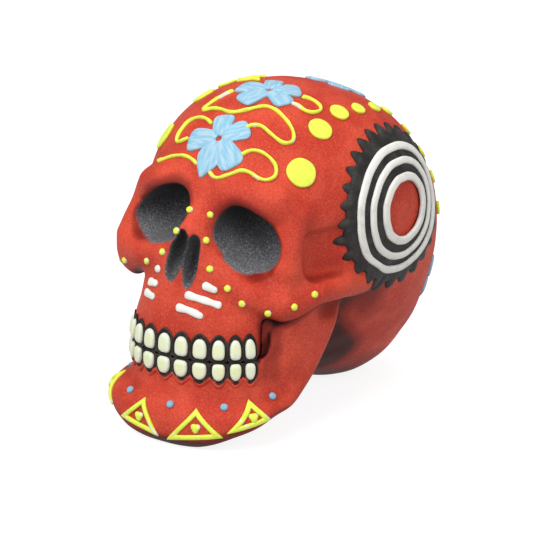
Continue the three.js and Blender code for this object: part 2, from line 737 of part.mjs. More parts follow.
function makeRosette(sideName, side) {
  const point = (radius, angle, thick) => {
    const place = besideTemple(side, [radius * Math.cos(angle), radius * Math.sin(angle)]);
    return skinPoint(skullField, place, thick);
  };
  const circle = (count, radiusAt, thick) =>
    Array.from({ length: count }, (_, k) => point(radiusAt(k), (2 * Math.PI * k) / count, thick));
  const waist = (cogHoleRadius + cogRimRadius) / 2;
  const plateRadii = [cogHoleRadius, waist, (waist + cogRimRadius) / 2, cogRimRadius];
  const plateRows = plateRadii.map((radius) => circle(2 * cogTeeth, () => radius, cogThick));
  plateRows.push(circle(2 * cogTeeth, (k) => (k % 2 ? cogRootRadius : cogTipRadius), cogThick));
  add(`${sideName}_rosette_plate`, onSkin(plateRows, { lift: glueLine, closed: true }), blackPaint);
  for (const { name, inner, outer } of rings) {
    const ringRows = [inner, outer].map((radius) => circle(ringSegments, () => radius, ringThick));
    const lift = glueLine + cogThick + glueLine;
    add(`${sideName}_rosette_ring_${name}`, onSkin(ringRows, { lift, closed: true }), whitePaint);
  }
}

function makeDiscs(sideName, side) {
  discs.forEach(({ at, radius }, k) => {
    const shift = side > 0 ? [0, 0, 0] : leftArcShift;
    const middle = settle(skullField, [side * at[0] + shift[0], at[1] + shift[1], at[2] + shift[2]]);
    const geometry = patch(skullField, middle, [0, 1, 0], circleOutline(radius, discSides), discThick, [1]);
    add(`${sideName}_disc_${k + 1}`, geometry, yellowPaint);
  });
}

// Five points on every petal, and one in each notch.
function petalOutline(petals) {
  return petals.flatMap(({ turn, length }, k) => {
    const next = petals[(k + 1) % petals.length].turn + (k + 1 === petals.length ? 360 : 0);
    const lobe = [-1, -0.5, 0, 0.5, 1].map((share) => {
      const fall = Math.sqrt(1 - 0.62 * share * share);
      return [THREE.MathUtils.degToRad(turn + share * petalSpread * fall), length * fall];
    });
    return [...lobe, [THREE.MathUtils.degToRad((turn + next) / 2), flowerWaist]];
  });
}

function makeFlowers() {
  for (const { name, at, up, petals } of flowers) {
    const middle = settle(skullField, at);
    const geometry = patch(skullField, middle, up, petalOutline(petals), flowerThick, [0.5, 1]);
    add(`flower_${name}`, geometry, bluePaint);
  }
}

function makeScrolls() {
  for (const { name, plan } of scrolls) {
    const curve = new THREE.SplineCurve(plan.map(([x, y]) => new THREE.Vector2(x, y)));
    const places = curve.getSpacedPoints(scrollSteps).map((v) => fromAbove([v.x, v.y]));
    add(`scroll_${name}`, ribbon(skullField, places, scrollWidth, scrollThick), yellowPaint);
  }
}

function makeDashes() {
  const steps = 4;
  for (const { name, ends } of dashes) {
    const [from, to] = ends.map((end) => new THREE.Vector2(...end));
    const places = Array.from({ length: steps + 1 }, (_, k) =>
      fromFront(from.clone().lerp(to, k / steps).toArray()),
    );
    add(`dash_${name}`, ribbon(skullField, places, dashWidth, dashThick), whitePaint);
  }
}

// A triangle frame on the chin: its outer and inner outlines, each side in a few steps.
function makeTriangle(name, side, { angles, halfWidth, foot, lean, peak }) {
  const angle = side > 0 ? angles[0] : angles[1];
  const stepsPerSide = 5;
  const flatCorners = [[-halfWidth, foot - side * lean], [halfWidth, foot + side * lean], [0, peak]];
  const corners = flatCorners.map((corner) => new THREE.Vector2(...corner));
  const heart = corners[0].clone().add(corners[1]).add(corners[2]).divideScalar(3);
  const outline = (share) =>
    corners.flatMap((corner, k) =>
      Array.from({ length: stepsPerSide }, (_, j) => {
        const flat = corner.clone().lerp(corners[(k + 1) % 3], j / stepsPerSide);
        flat.lerp(heart, 1 - share);
        const round = angle + THREE.MathUtils.radToDeg(flat.x / chinRound);
        return skinPoint(jawField, roundJaw(jawField, toothArchBack, [round, flat.y]), triangleThick);
      }),
    );
  const inRadius = heart.y - foot;
  const rows = [outline((inRadius - triangleWall) / inRadius), outline(1)];
  const geometry = onSkin(rows, { lift: glueLine, closed: true });
  add(name, geometry, yellowPaint);
}

function makeChin() {
  for (const [sideName, side] of sides) {
    makeTriangle(`chin_triangle_${sideName}_inner`, side, innerTriangles);
    makeTriangle(`chin_triangle_${sideName}_outer`, side, outerTriangles);
  }
  for (const { name, angle, height } of chinDots) {
    const middle = roundJaw(jawField, toothArchBack, [angle, height]);
    const outline = circleOutline(chinDotRadius, chinDotSides);
    add(`chin_dot_${name}`, patch(jawField, middle, [0, 0, 1], outline, chinDotThick, [1]), bluePaint);
  }
}

makeCranium();
makeMandible();
makeTeeth("upper_teeth", skullField, biteHeight + toothClearance, upperToothHeight);
makeTeeth("lower_teeth", jawField, biteHeight - toothClearance - lowerToothHeight, lowerToothHeight);
for (const [sideName, side] of sides) {
  makeRosette(sideName, side);
  makeDiscs(sideName, side);
}
makeFlowers();
makeScrolls();
makeDashes();
makeChin();

export default skull;
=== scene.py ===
"""Painted sugar skull ornament, dressed over its solids.

Shapes are worked out in millimetres, +Z up and the face towards -Y, and put into Blender in metres.
Right is the +X side. Fields are negative inside a form and close to millimetres near its skin.
"""
import math

import bpy
import numpy as np
from mathutils import Matrix, Vector


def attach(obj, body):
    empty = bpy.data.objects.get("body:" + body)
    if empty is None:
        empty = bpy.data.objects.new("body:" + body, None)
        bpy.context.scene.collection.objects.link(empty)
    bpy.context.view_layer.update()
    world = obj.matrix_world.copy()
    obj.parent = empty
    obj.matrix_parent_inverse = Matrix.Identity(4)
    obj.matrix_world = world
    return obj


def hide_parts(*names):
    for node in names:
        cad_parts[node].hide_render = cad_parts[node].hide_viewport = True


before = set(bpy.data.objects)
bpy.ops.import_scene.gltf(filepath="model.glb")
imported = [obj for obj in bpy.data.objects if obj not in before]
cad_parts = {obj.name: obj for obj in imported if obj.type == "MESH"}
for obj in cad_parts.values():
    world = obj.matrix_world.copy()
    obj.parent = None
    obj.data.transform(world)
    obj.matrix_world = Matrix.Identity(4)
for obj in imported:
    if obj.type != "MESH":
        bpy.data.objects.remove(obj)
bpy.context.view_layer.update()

MM = 0.001

# Swellings of the brain case and the face: centre and half lengths.
PARIETAL = ((0, 20, 76), (55.6, 59.4, 49.9))
PARIETAL_BOSS = ((21, 12, 92), (31.5, 36, 31.6))
FRONTAL = ((0, -6, 89), (46.5, 50, 43.4))
OCCIPUT = ((0, 38, 46), (43, 41.8, 48.5))
FACE_CORE = ((0, -34, 73), (32, 22, 30))
NOSE_BLOCK = ((0, -56, 75), (10.5, 13.5, 15))

# Dents cut into them and into the lower jaw: the temple, the neck behind the jaw, and the ramus under the
# cheek.
TEMPLE = ((57, -34, 77.5), (16, 15, 16))
NECK_DENT = ((46, -8, 32), (15, 13, 20))
RAMUS_DENT = ((47, -27, 52), (7, 15, 7))

# The left ramus sits further in and further back than the right one, by this much along each axis.
LEFT_RAMUS = (4.5, -8, 0)

# Ridges of bone on the right side: points along the crest, and the radius at each.
BROW_POINTS = [(3, -48, 99), (20, -50, 99), (30, -46, 96.5), (34.5, -42, 90), (36, -45, 79), (36, -47, 71)]
BROW_RADII = [3.5, 4.5, 4.5, 4.2, 4.2, 5]
CHEEK_POINTS = [
    (12, -60, 70), (24, -56, 64.5), (35, -49, 61), (42.5, -36, 60.5), (46.5, -22, 60), (47, -10, 58),
]
CHEEK_RADII = [4, 6, 6.8, 5.5, 4.8, 4]
NASAL_POINTS = [(0, -48, 99), (0, -63, 85)]
NASAL_RADII = [3, 3.6]

# Hollows on their own side, and the temple's squared floor: centre, half lengths, power, and the pitch, roll
# and yaw in degrees.
RIGHT_SOCKET = ((21.7, -58, 81.8), (9.7, 28, 14.1), 2.5, (0, -43, 6))
LEFT_SOCKET = ((18, -58, 85.8), (16.4, 28, 10.9), 2.8, (0, 30, 6))
RIGHT_NOSTRIL = ((4.2, -70, 74.2), (2.6, 9, 11.2), 2, (8, 7, 0))
LEFT_NOSTRIL = ((2.9, -70, 75), (3.9, 10, 11.8), 2, (8, -19, 0))
TEMPLE_FLOOR = ((49, -34, 75), (10, 10.8, 10), 4, (0, 0, -20))

# Jaws: the bite and half the gap there, the tooth arch, and curves of the front and the lower border.
BITE = 35.3
HALF_GAP = 0.2
ARCH_BACK = -42
ARCH_POWER = 2.3
ARCH_HALF_WIDTH = 33
ARCH_FRONT = -73.5
UPPER_FRONT = [(33, ARCH_FRONT), (51, -72), (65, -68), (75, -62)]
UPPER_HALF_WIDTH = [(39, ARCH_HALF_WIDTH), (51, 30), (62, 23)]
BASE_HALF_WIDTH = [(6, 44.5), (14, 43.2), (22, 40.5)]
CHIN_FRONT = [(0, -78), (5, -81), (17, -79.5), (29, -73)]
LOWER_BORDER = [(0, -1), (12, -0.6), (25, 4.6), (43, 11.7), (55, 16.8), (64, 26.5), (78, 49), (90, 69)]

# The upper jaw's top, its narrower root behind the teeth, and where both jaws end.
UPPER_JAW_TOP = 73
ROOT_HALF_WIDTH = 21.5
ROOT_FRONT = -61.5
ROOT_FOOT = 31
JAW_REAR = -12

# The lower jaw's base and the bow inside it, the gum's wall, and the web behind the last tooth.
BASE_BACK = -32
BASE_TOP = 19
BASE_POWER = 2.7
BOW_HALF_WIDTH = 32
BOW_FRONT = -66
BOW_POWER = 2.5
GUM_WALL = 11
WEB_HALF_WIDTH = 29.6
WEB_FRONT = -67
WEB_TOP = 52
WEB_REAR = -28
CHIN_MIDDLE = -80

# The ramus: a wall of a horseshoe, cut by its inner side, its top and a sloping front edge.
RAMUS_BACK = -16
RAMUS_HALF_WIDTH = 43.5
RAMUS_FRONT = -66
RAMUS_POWER = 2.5
RAMUS_WALL = 8.5
RAMUS_INSIDE = 32
RAMUS_TOP = 61
EDGE_Y = -52
EDGE_Z = 44.6
EDGE_SLOPE = 0.77

# Both jaws turn in behind the last tooth, at this corner and square to this direction in plan.
CORNER = np.array([30.6, -57.5])
CORNER_OUT = np.array([0.84, 0.54])

# The left cheek and socket sit higher than the right ones, and the cheek bone stands further out.
LIFT = 5.2
LIFT_HEIGHT = 66
LIFT_FADE = 15
LIFT_REACH = 26
LIFT_AHEAD = (25, 50)
UPPER_TOOTH_TOP = 45.2
FLARE = 3.2
FLARE_HEIGHT = 77
FLARE_FADE = 9
FLARE_REACH = (16, 34)

# The right cheek bone hangs lower at its front.
DROP = 4.2
DROP_REACH = 24
DROP_AHEAD = (34, 50)

# Height of each wave of a hand-modelled skin, and the gap that bonds the lower jaw to the skull.
LUMP = 0.07
BOND = 0.15

# Lines that look for the skin start this far out beside it, and over or before it.
START_BESIDE = 90
START_OVER = 150.0

# Distance that stands for no hollow near by.
FAR = 50.0


# Fields of the skull

def smooth_step(value, low, high):
    """0 below low, 1 above high, and the cubic 3t^2 - 2t^3 between."""
    t = np.clip((value - low) / (high - low), 0, 1)
    return t * t * (3 - 2 * t)


def soft_min(a, b, k):
    """The smaller of two fields, with a fillet about k wide where they are close."""
    h = np.maximum(k - np.abs(a - b), 0) / k
    return np.minimum(a, b) - h * h * k / 4


def soft_max(a, b, k):
    """The larger of two fields, with the same fillet."""
    return -soft_min(-a, -b, k)


def ellipsoid(p, centre, half):
    """Distance to an ellipsoid: the scaled reach less one, over the slope of that reach."""
    q = (p - np.array(centre)) / np.array(half)
    reach = np.linalg.norm(q, axis=-1)
    slope = np.linalg.norm(q / np.array(half), axis=-1)
    return reach * (reach - 1) / (slope + 1e-9)


def ridge(p, points, radii):
    """Distance to a chain of tapered rounds: to each stretch's axis, less the radius there."""
    nearest = np.full(p.shape[:-1], np.inf)
    for start, end, first, last in zip(points, points[1:], radii, radii[1:]):
        start = np.array(start, float)
        along = np.array(end) - start
        t = np.clip((p - start) @ along / (along @ along), 0, 1)
        gap = np.linalg.norm(p - start - t[..., None] * along, axis=-1)
        nearest = np.minimum(nearest, gap - first - (last - first) * t)
    return nearest


def horseshoe(p, back, half_width, front, power):
    """A superellipse in plan for the front half, and straight sides behind the line y = back."""
    depth = back - front
    ahead = np.maximum(back - p[..., 1], 0)
    reach = ((np.abs(p[..., 0]) / half_width) ** power + (ahead / depth) ** power) ** (1 / power)
    return (reach - 1) * np.minimum(half_width, depth)


def curve_through(place, pairs):
    """Cubic through (place, value) pairs, level outside them, each slope taken across its neighbours."""
    at, value = np.array(pairs, float).T
    k = np.arange(len(at))
    before, after = np.maximum(k - 1, 0), np.minimum(k + 1, len(at) - 1)
    slope = (value[after] - value[before]) / (at[after] - at[before])
    place = np.clip(place, at[0], at[-1])
    i = np.clip(np.searchsorted(at, place, side="right") - 1, 0, len(at) - 2)
    step = at[i + 1] - at[i]
    t = (place - at[i]) / step
    bend = step * (t * (1 - t) ** 2 * slope[i] - t * t * (1 - t) * slope[i + 1])
    return value[i] + t * t * (3 - 2 * t) * (value[i + 1] - value[i]) + bend


def hollow(p, centre, half, power, turn):
    """Distance to a squared-off ellipsoid that is turned by pitch, roll and yaw."""
    pitch, roll, yaw = np.radians(turn)
    q = p - np.array(centre)
    x = math.cos(yaw) * q[..., 0] + math.sin(yaw) * q[..., 1]
    y = math.cos(yaw) * q[..., 1] - math.sin(yaw) * q[..., 0]
    z = math.cos(pitch) * q[..., 2] - math.sin(pitch) * y
    y = math.cos(pitch) * y + math.sin(pitch) * q[..., 2]
    q = np.stack([math.cos(roll) * x - math.sin(roll) * z, y, math.sin(roll) * x + math.cos(roll) * z], -1)
    q = q / np.array(half)
    reach = (np.abs(q) ** power).sum(-1) ** (1 / power)
    slope = np.linalg.norm(q / np.array(half), axis=-1) / (np.linalg.norm(q, axis=-1) + 1e-9)
    return (reach - 1) / (slope + 1e-9)


def right_half(p):
    """Points folded on to the right half, after the left side's extra height and width are taken off."""
    x, y, z = p[..., 0], p[..., 1], p[..., 2]
    forwards = smooth_step(-y, *LIFT_AHEAD)
    lift = LIFT * forwards * smooth_step(-x, 0, LIFT_REACH)
    lift = lift * smooth_step(z, UPPER_TOOTH_TOP, UPPER_TOOTH_TOP + LIFT_FADE)
    lift = lift * np.exp(-((z - LIFT_HEIGHT) / LIFT_FADE) ** 2)
    flare = FLARE * forwards * smooth_step(-x, *FLARE_REACH) * np.exp(-((z - FLARE_HEIGHT) / FLARE_FADE) ** 2)
    return np.stack([np.abs(x) - flare, y, z - lift], -1)


def past_corner(q):
    """How far points lie beyond the corner behind the last tooth."""
    return (q[..., :2] - CORNER) @ CORNER_OUT


def skull_field(p):
    """Brain case, face and upper jaw without their hollows: swellings and ridges run softly together."""
    q = right_half(p)
    y, z = q[..., 1], q[..., 2]
    d = soft_min(ellipsoid(q, *PARIETAL), ellipsoid(q, *FRONTAL), 20)
    d = soft_min(d, ellipsoid(q, *PARIETAL_BOSS), 10)
    d = soft_min(d, ellipsoid(q, *OCCIPUT), 24)
    d = soft_min(d, ellipsoid(q, *FACE_CORE), 12)
    d = soft_min(d, ridge(q, BROW_POINTS, BROW_RADII), 10)
    drop = DROP * smooth_step(p[..., 0], 0, DROP_REACH) * smooth_step(-y, *DROP_AHEAD)
    d = soft_min(d, ridge(np.stack([q[..., 0], y, z + drop], -1), CHEEK_POINTS, CHEEK_RADII), 10)
    d = soft_max(d, -ellipsoid(q, *TEMPLE), 2.5)
    d = soft_max(d, -hollow(q, *TEMPLE_FLOOR), 1.6)
    d = soft_max(d, -ellipsoid(q, *NECK_DENT), 6)
    d = soft_min(d, ridge(q, NASAL_POINTS, NASAL_RADII), 6)
    d = soft_min(d, ellipsoid(q, *NOSE_BLOCK), 6)
    front = curve_through(z, UPPER_FRONT)
    jaw = horseshoe(q, ARCH_BACK, curve_through(z, UPPER_HALF_WIDTH), front, ARCH_POWER)
    jaw = soft_max(jaw, np.maximum(BITE + HALF_GAP - z, z - UPPER_JAW_TOP), 1.5)
    jaw = soft_max(jaw, past_corner(q), 2.5)
    root = horseshoe(q, ARCH_BACK, ROOT_HALF_WIDTH, ROOT_FRONT, ARCH_POWER)
    root = soft_max(root, np.maximum(ROOT_FOOT - z, z - UPPER_JAW_TOP), 2)
    d = soft_min(d, soft_max(root, y - JAW_REAR, 4), 7)
    return soft_min(d, jaw, 5)


def hollow_field(p):
    """The eye socket on the point's own side, and the nearer nostril. The left one crosses the middle."""
    q = right_half(p)
    left = p[..., 0] < 0
    socket = np.where(left, hollow(q, *LEFT_SOCKET), hollow(q, *RIGHT_SOCKET))
    unfolded = q * np.where(left[..., None], (-1, 1, 1), (1, 1, 1))
    right_nostril = hollow(unfolded, *RIGHT_NOSTRIL)
    left_nostril = hollow(unfolded * (-1, 1, 1), *LEFT_NOSTRIL)
    return socket, np.minimum(right_nostril, left_nostril)


def hand_lumps(p):
    """Unevenness of a hand-modelled skin: four slow waves that run in different directions."""
    waves = (
        ((0.31, 0.12, 0.17), 0.4), ((-0.14, 0.29, 0.21), 1.9),
        ((0.22, -0.19, 0.33), 3.1), ((0.05, 0.45, -0.38), 5.2),
    )
    return sum(LUMP * np.sin(p @ np.array(way) + phase) for way, phase in waves)


def cranium_field(p):
    """The skull with its sockets and nostrils cut in, standing on the table."""
    socket, nostril = hollow_field(p)
    d = soft_max(skull_field(p), -socket, 3)
    d = soft_max(d, -nostril, 1.6) + hand_lumps(p)
    return soft_max(d, -p[..., 2], 1)


def jaw_field(p):
    """The lower jaw: base, gum and ramus as walls of horseshoes, run together and cut by the lower border.

    A thin web carries the inner wall on behind the last tooth, and shuts the trough before the ramus.
    """
    q = np.stack([np.abs(p[..., 0]), p[..., 1], p[..., 2]], -1)
    x, y, z = q[..., 0], q[..., 1], q[..., 2]
    half_width = curve_through(z, BASE_HALF_WIDTH)
    base = horseshoe(q, BASE_BACK, half_width, curve_through(z, CHIN_FRONT), BASE_POWER)
    base = soft_max(base, -horseshoe(q, BASE_BACK, BOW_HALF_WIDTH, BOW_FRONT, BOW_POWER), 3)
    base = soft_max(soft_max(base, z - BASE_TOP, 6), y - BASE_BACK, 6)
    outer_gum = horseshoe(q, ARCH_BACK, ARCH_HALF_WIDTH, ARCH_FRONT, ARCH_POWER)
    inner_gum = horseshoe(q, ARCH_BACK, ARCH_HALF_WIDTH - GUM_WALL, ARCH_FRONT + GUM_WALL, ARCH_POWER)
    gum = soft_max(outer_gum, -inner_gum, 3)
    gum = soft_max(soft_max(gum, z - BITE + HALF_GAP, 1.5), past_corner(q), 2.5)
    web = soft_max(horseshoe(q, ARCH_BACK, WEB_HALF_WIDTH, WEB_FRONT, ARCH_POWER), -inner_gum, 2)
    web = soft_max(soft_max(web, z - WEB_TOP, 3), y - WEB_REAR, 3)
    gum = soft_min(gum, web, 4)
    r = q + np.where(p[..., :1] < 0, LEFT_RAMUS, 0)
    ramus = horseshoe(r, RAMUS_BACK, RAMUS_HALF_WIDTH, RAMUS_FRONT, RAMUS_POWER)
    inner_half_width = RAMUS_HALF_WIDTH - RAMUS_WALL
    inner_ramus = horseshoe(r, RAMUS_BACK, inner_half_width, RAMUS_FRONT + RAMUS_WALL, RAMUS_POWER)
    ramus = soft_max(ramus, -inner_ramus, 3)
    before_edge = EDGE_Y + EDGE_SLOPE * (z - EDGE_Z) - r[..., 1]
    ramus = soft_max(ramus, before_edge / math.hypot(1, EDGE_SLOPE), 3)
    ramus = soft_max(soft_max(ramus, z - RAMUS_TOP, 3), RAMUS_INSIDE - r[..., 0], 3)
    ramus = soft_max(soft_max(ramus, r[..., 1] - JAW_REAR, 3), -ellipsoid(r, *RAMUS_DENT), 3)
    d = soft_min(soft_min(base, gum, 8), ramus, 6)
    border = curve_through(np.hypot(x, y - CHIN_MIDDLE), LOWER_BORDER)
    return soft_max(soft_max(d, (border - z) * 0.75, 5), -z, 1)


def mandible_field(p):
    """The lower jaw, trimmed just short of the skull it is bonded to."""
    return np.maximum(jaw_field(p) + hand_lumps(p), BOND - skull_field(p))


def slope_of(field, p):
    """Slope of a field at points, by central differences."""
    h = 0.15
    steps = np.eye(3) * h
    return np.stack([field(p + step) - field(p - step) for step in steps], -1) / (2 * h)


def unit(way):
    """Directions brought to a length of one."""
    return way / np.linalg.norm(way, axis=-1, keepdims=True)


def outward(field, p):
    """Unit direction in which a field grows."""
    return unit(slope_of(field, p))


def settle(field, p, rounds=5):
    """Moves points on to a field's skin by Newton steps along its slope."""
    for _ in range(rounds):
        slope = slope_of(field, p)
        p = p - (field(p) / (slope * slope).sum(-1))[..., None] * slope
    return p


def meet(field, p, way):
    """Where straight lines from outside first meet a skin: each point steps on by its own distance."""
    for _ in range(60):
        p = p + 0.9 * field(p)[..., None] * way
    return p


# Skins

def skin_of(field, low, high, step):
    """Closed skin where a field is zero.

    A lattice of cells is laid over the box. A cell that the skin passes gets one vertex, the mean of the
    places where its edges cross the skin, and every lattice edge that crosses it gets a face between the four
    cells round it. The skin is neither a grid of two parameters nor a swept profile, because it branches
    round hollows.
    """
    axes = [np.arange(a, b, step) for a, b in zip(low, high)]
    grid = np.stack(np.meshgrid(*axes, indexing="ij"), -1)
    skip = 4
    coarse = field(grid[::skip, ::skip, ::skip])
    value = coarse.repeat(skip, 0).repeat(skip, 1).repeat(skip, 2)
    value = value[: grid.shape[0], : grid.shape[1], : grid.shape[2]].copy()
    near = np.abs(value) < 2 * skip * step
    value[near] = field(grid[near])
    inside = value < 0
    cells = tuple(n - 1 for n in value.shape)
    total = np.zeros(cells + (3,))
    hits = np.zeros(cells)
    crossings = []
    for axis in range(3):
        lower = tuple(slice(0, -1) if k == axis else slice(None) for k in range(3))
        upper = tuple(slice(1, None) if k == axis else slice(None) for k in range(3))
        edge = np.argwhere(inside[lower] != inside[upper])
        at = tuple(edge.T)
        first, last = value[lower][at], value[upper][at]
        point = grid[at].copy()
        point[:, axis] += step * first / (first - last)
        around = []
        for back_b, back_c in ((1, 1), (0, 1), (0, 0), (1, 0)):
            cell = edge.copy()
            cell[:, (axis + 1) % 3] -= back_b
            cell[:, (axis + 2) % 3] -= back_c
            around.append(tuple(cell.T))
        for cell in around:
            np.add.at(total, cell, point)
            np.add.at(hits, cell, 1)
        crossings.append((around, first < 0))
    live = hits > 0
    number = np.full(cells, -1)
    number[live] = np.arange(live.sum())
    quads = []
    for around, outwards in crossings:
        quad = np.stack([number[cell] for cell in around], -1)
        quad[~outwards] = quad[~outwards, ::-1]
        quads.append(quad)
    return total[live] / hits[live][:, None], np.concatenate(quads)


def evened(field, points, quads, rounds=3):
    """Evens out a skin: vertices go half way to the mean of their neighbours, then back on to the field."""
    ends = np.concatenate([quads[:, [k, (k + 1) % 4]] for k in range(4)])
    count = np.bincount(ends[:, 0], minlength=len(points))[:, None]
    for _ in range(rounds):
        sums = [np.bincount(ends[:, 0], points[ends[:, 1], axis], len(points)) for axis in range(3)]
        points = settle(field, (points + np.stack(sums, -1) / count) / 2, 1)
    return settle(field, points, 1)


def looped(rings, flat):
    """Closed skin through rings of points that follow one another round a loop."""
    rows, count = rings.shape[:2]
    k = np.arange(count)
    after = (k + 1) % count
    start = np.arange(rows)[:, None] * count
    following = (np.arange(rows)[:, None] + 1) % rows * count
    quads = np.stack([start + k, start + after, following + after, following + k], -1).reshape(-1, 4)
    return rings.reshape(-1, 3), quads, np.zeros((0, 3), int), flat.reshape(-1, 2)


def capped(rings, flat):
    """Closed skin through stacked rings of points, each end closed by a fan round the ring's mean."""
    rows, count = rings.shape[:2]
    points, quads, _, places = looped(rings, flat)
    points = np.concatenate([points, rings[:1].mean(1), rings[-1:].mean(1)])
    places = np.concatenate([places, flat[:1].mean(1), flat[-1:].mean(1)])
    k = np.arange(count)
    after = (k + 1) % count
    pole = rows * count
    last = pole - count
    fans = [np.stack([np.full(count, pole), after, k], -1)]
    fans.append(np.stack([np.full(count, pole + 1), last + k, last + after], -1))
    return points, quads[:-count], np.concatenate(fans), places


def joined(shells):
    """Several closed skins as one set of points and faces."""
    starts = np.cumsum([0] + [len(shell[0]) for shell in shells[:-1]])
    return (
        np.concatenate([shell[0] for shell in shells]),
        np.concatenate([shell[1] + start for shell, start in zip(shells, starts)]),
        np.concatenate([shell[2] + start for shell, start in zip(shells, starts)]),
        np.concatenate([shell[3] for shell in shells]),
    )


def volume_of(points, quads, triangles):
    """Signed volume: the sum of each triangle's triple product over six."""
    corners = np.concatenate([triangles, quads[:, :3], quads[:, [0, 2, 3]]])
    a, b, c = (points[corners[:, k]] for k in range(3))
    return (a * np.cross(b, c)).sum() / 6


def add_piece(name, shell, paint, nodes=(), attributes=None):
    """Makes one piece from a closed skin, turned outwards, with its own values at each vertex."""
    points, quads, triangles, _ = shell
    if volume_of(points, quads, triangles) < 0:
        quads, triangles = quads[:, ::-1], triangles[:, ::-1]
    mesh = bpy.data.meshes.new(name)
    corners = np.concatenate([quads.ravel(), triangles.ravel()])
    starts = np.concatenate([np.arange(len(quads)) * 4, quads.size + np.arange(len(triangles)) * 3])
    mesh.vertices.add(len(points))
    mesh.vertices.foreach_set("co", (points * MM).ravel())
    mesh.loops.add(len(corners))
    mesh.loops.foreach_set("vertex_index", corners)
    mesh.polygons.add(len(starts))
    mesh.polygons.foreach_set("loop_start", starts)
    mesh.polygons.foreach_set("use_smooth", np.ones(len(starts), bool))
    for key, values in (attributes or {}).items():
        layer = mesh.attributes.new(key, "FLOAT", "POINT")
        layer.data.foreach_set("value", np.broadcast_to(values, len(points)).astype(np.float32))
    mesh.update(calc_edges=True)
    mesh.materials.append(paint)
    piece = bpy.data.objects.new(name, mesh)
    bpy.context.collection.objects.link(piece)
    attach(piece, "root")
    if nodes:
        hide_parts(*nodes)
    return piece


# Pieces on the skin

def pressed(field, middle, up, flat, heights):
    """Lays flat offsets out in the plane that touches the skin at a point, and presses them on to it."""
    middle = settle(field, np.array([middle], float))
    out = outward(field, middle)[0]
    across = unit(np.cross(up, out))
    along = np.cross(out, across)
    skin = settle(field, middle[0] + flat[..., :1] * across + flat[..., 1:] * along)
    return skin + heights[..., None] * outward(field, skin)


def dome(field, middle, up, outline, profile):
    """A raised piece: its outline is scaled by each share of the profile and lifted by the share's height."""
    shares, heights = np.array(profile, float).T
    flat = shares[:, None, None] * outline
    return capped(pressed(field, middle, up, flat, heights[:, None]), flat)


def full_turn(count):
    """Even angles once round a circle."""
    return np.linspace(0, 2 * np.pi, count, endpoint=False)


def run_along(path):
    """Distance from the start of a path to each of its points."""
    return np.concatenate([[0], np.cumsum(np.linalg.norm(np.diff(path, axis=0), axis=1))])


def round_outline(count, reach):
    """Flat outline whose reach at each angle is given by a function."""
    angle = full_turn(count)
    return (reach(angle) * np.stack([np.cos(angle), np.sin(angle)])).T


def tongue(half_width, top, top_power, bottom, bottom_power):
    """Reach of a superellipse whose upper and lower halves have their own height and power."""
    def reach(angle):
        above = np.sin(angle) > 0
        height = np.where(above, top, bottom)
        power = np.where(above, top_power, bottom_power)
        sides = (np.abs(np.cos(angle)) / half_width) ** power + (np.abs(np.sin(angle)) / height) ** power
        return sides ** (-1 / power)
    return reach


def smooth_path(points, step):
    """Even steps along the smooth curve through points: each stretch is a cubic set by its neighbours."""
    p = np.array(points, float)
    p = np.concatenate([[2 * p[0] - p[1]], p, [2 * p[-1] - p[-2]]])
    t = np.linspace(0, 1, 16, endpoint=False)[:, None]
    a, b, c, d = (p[k : len(p) - 3 + k, None] for k in range(4))
    curve = b + (c - a) * t / 2 + (2 * a - 5 * b + 4 * c - d) * t**2 / 2 + (3 * b - a - 3 * c + d) * t**3 / 2
    curve = np.concatenate([curve.reshape(-1, p.shape[1]), p[-2:-1]])
    run = run_along(curve)
    at = np.linspace(0, run[-1], max(int(run[-1] / step), 4))
    return np.stack([np.interp(at, run, curve[:, k]) for k in range(p.shape[1])], -1)


def piped(field, path, half_width, height, power=2):
    """A piped line with round ends: a squared half-round profile carried along a path on the skin."""
    path = settle(field, path)
    out = outward(field, path)
    across = unit(np.cross(out, np.gradient(path, axis=0)))
    length = run_along(path)
    to_end = np.minimum(length, length[-1] - length) / half_width
    size = np.sqrt(1 - (1 - np.clip(to_end, 0.02, 1)) ** 2)
    size = size * (1 + 0.08 * np.sin(length * 0.9) + 0.06 * np.sin(length * 0.37 + 1))
    angle = full_turn(14)
    reach = (np.abs(np.cos(angle)) ** power + np.abs(np.sin(angle)) ** power) ** (-1 / power)
    sunk = 0.4
    side = half_width * reach * np.cos(angle)
    rise = np.where(np.sin(angle) > 0, height, sunk) * reach * np.sin(angle)
    rings = path[:, None] + (size[:, None] * side)[..., None] * across[:, None]
    rings = rings + (size[:, None] * rise)[..., None] * out[:, None]
    flat = np.stack(np.broadcast_arrays(length[:, None], side), -1)
    return capped(rings, flat)


def round_jaw(field, angle, height):
    """Skin points of a jaw at angles, in degrees, from the middle of the face, and at heights."""
    turn = np.radians(angle)
    out = np.stack([np.sin(turn), -np.cos(turn), np.zeros_like(turn)], -1)
    start = START_BESIDE * out + np.stack([np.zeros_like(turn), np.full_like(turn, ARCH_BACK), height], -1)
    return meet(field, start, -out)


# Shader maths

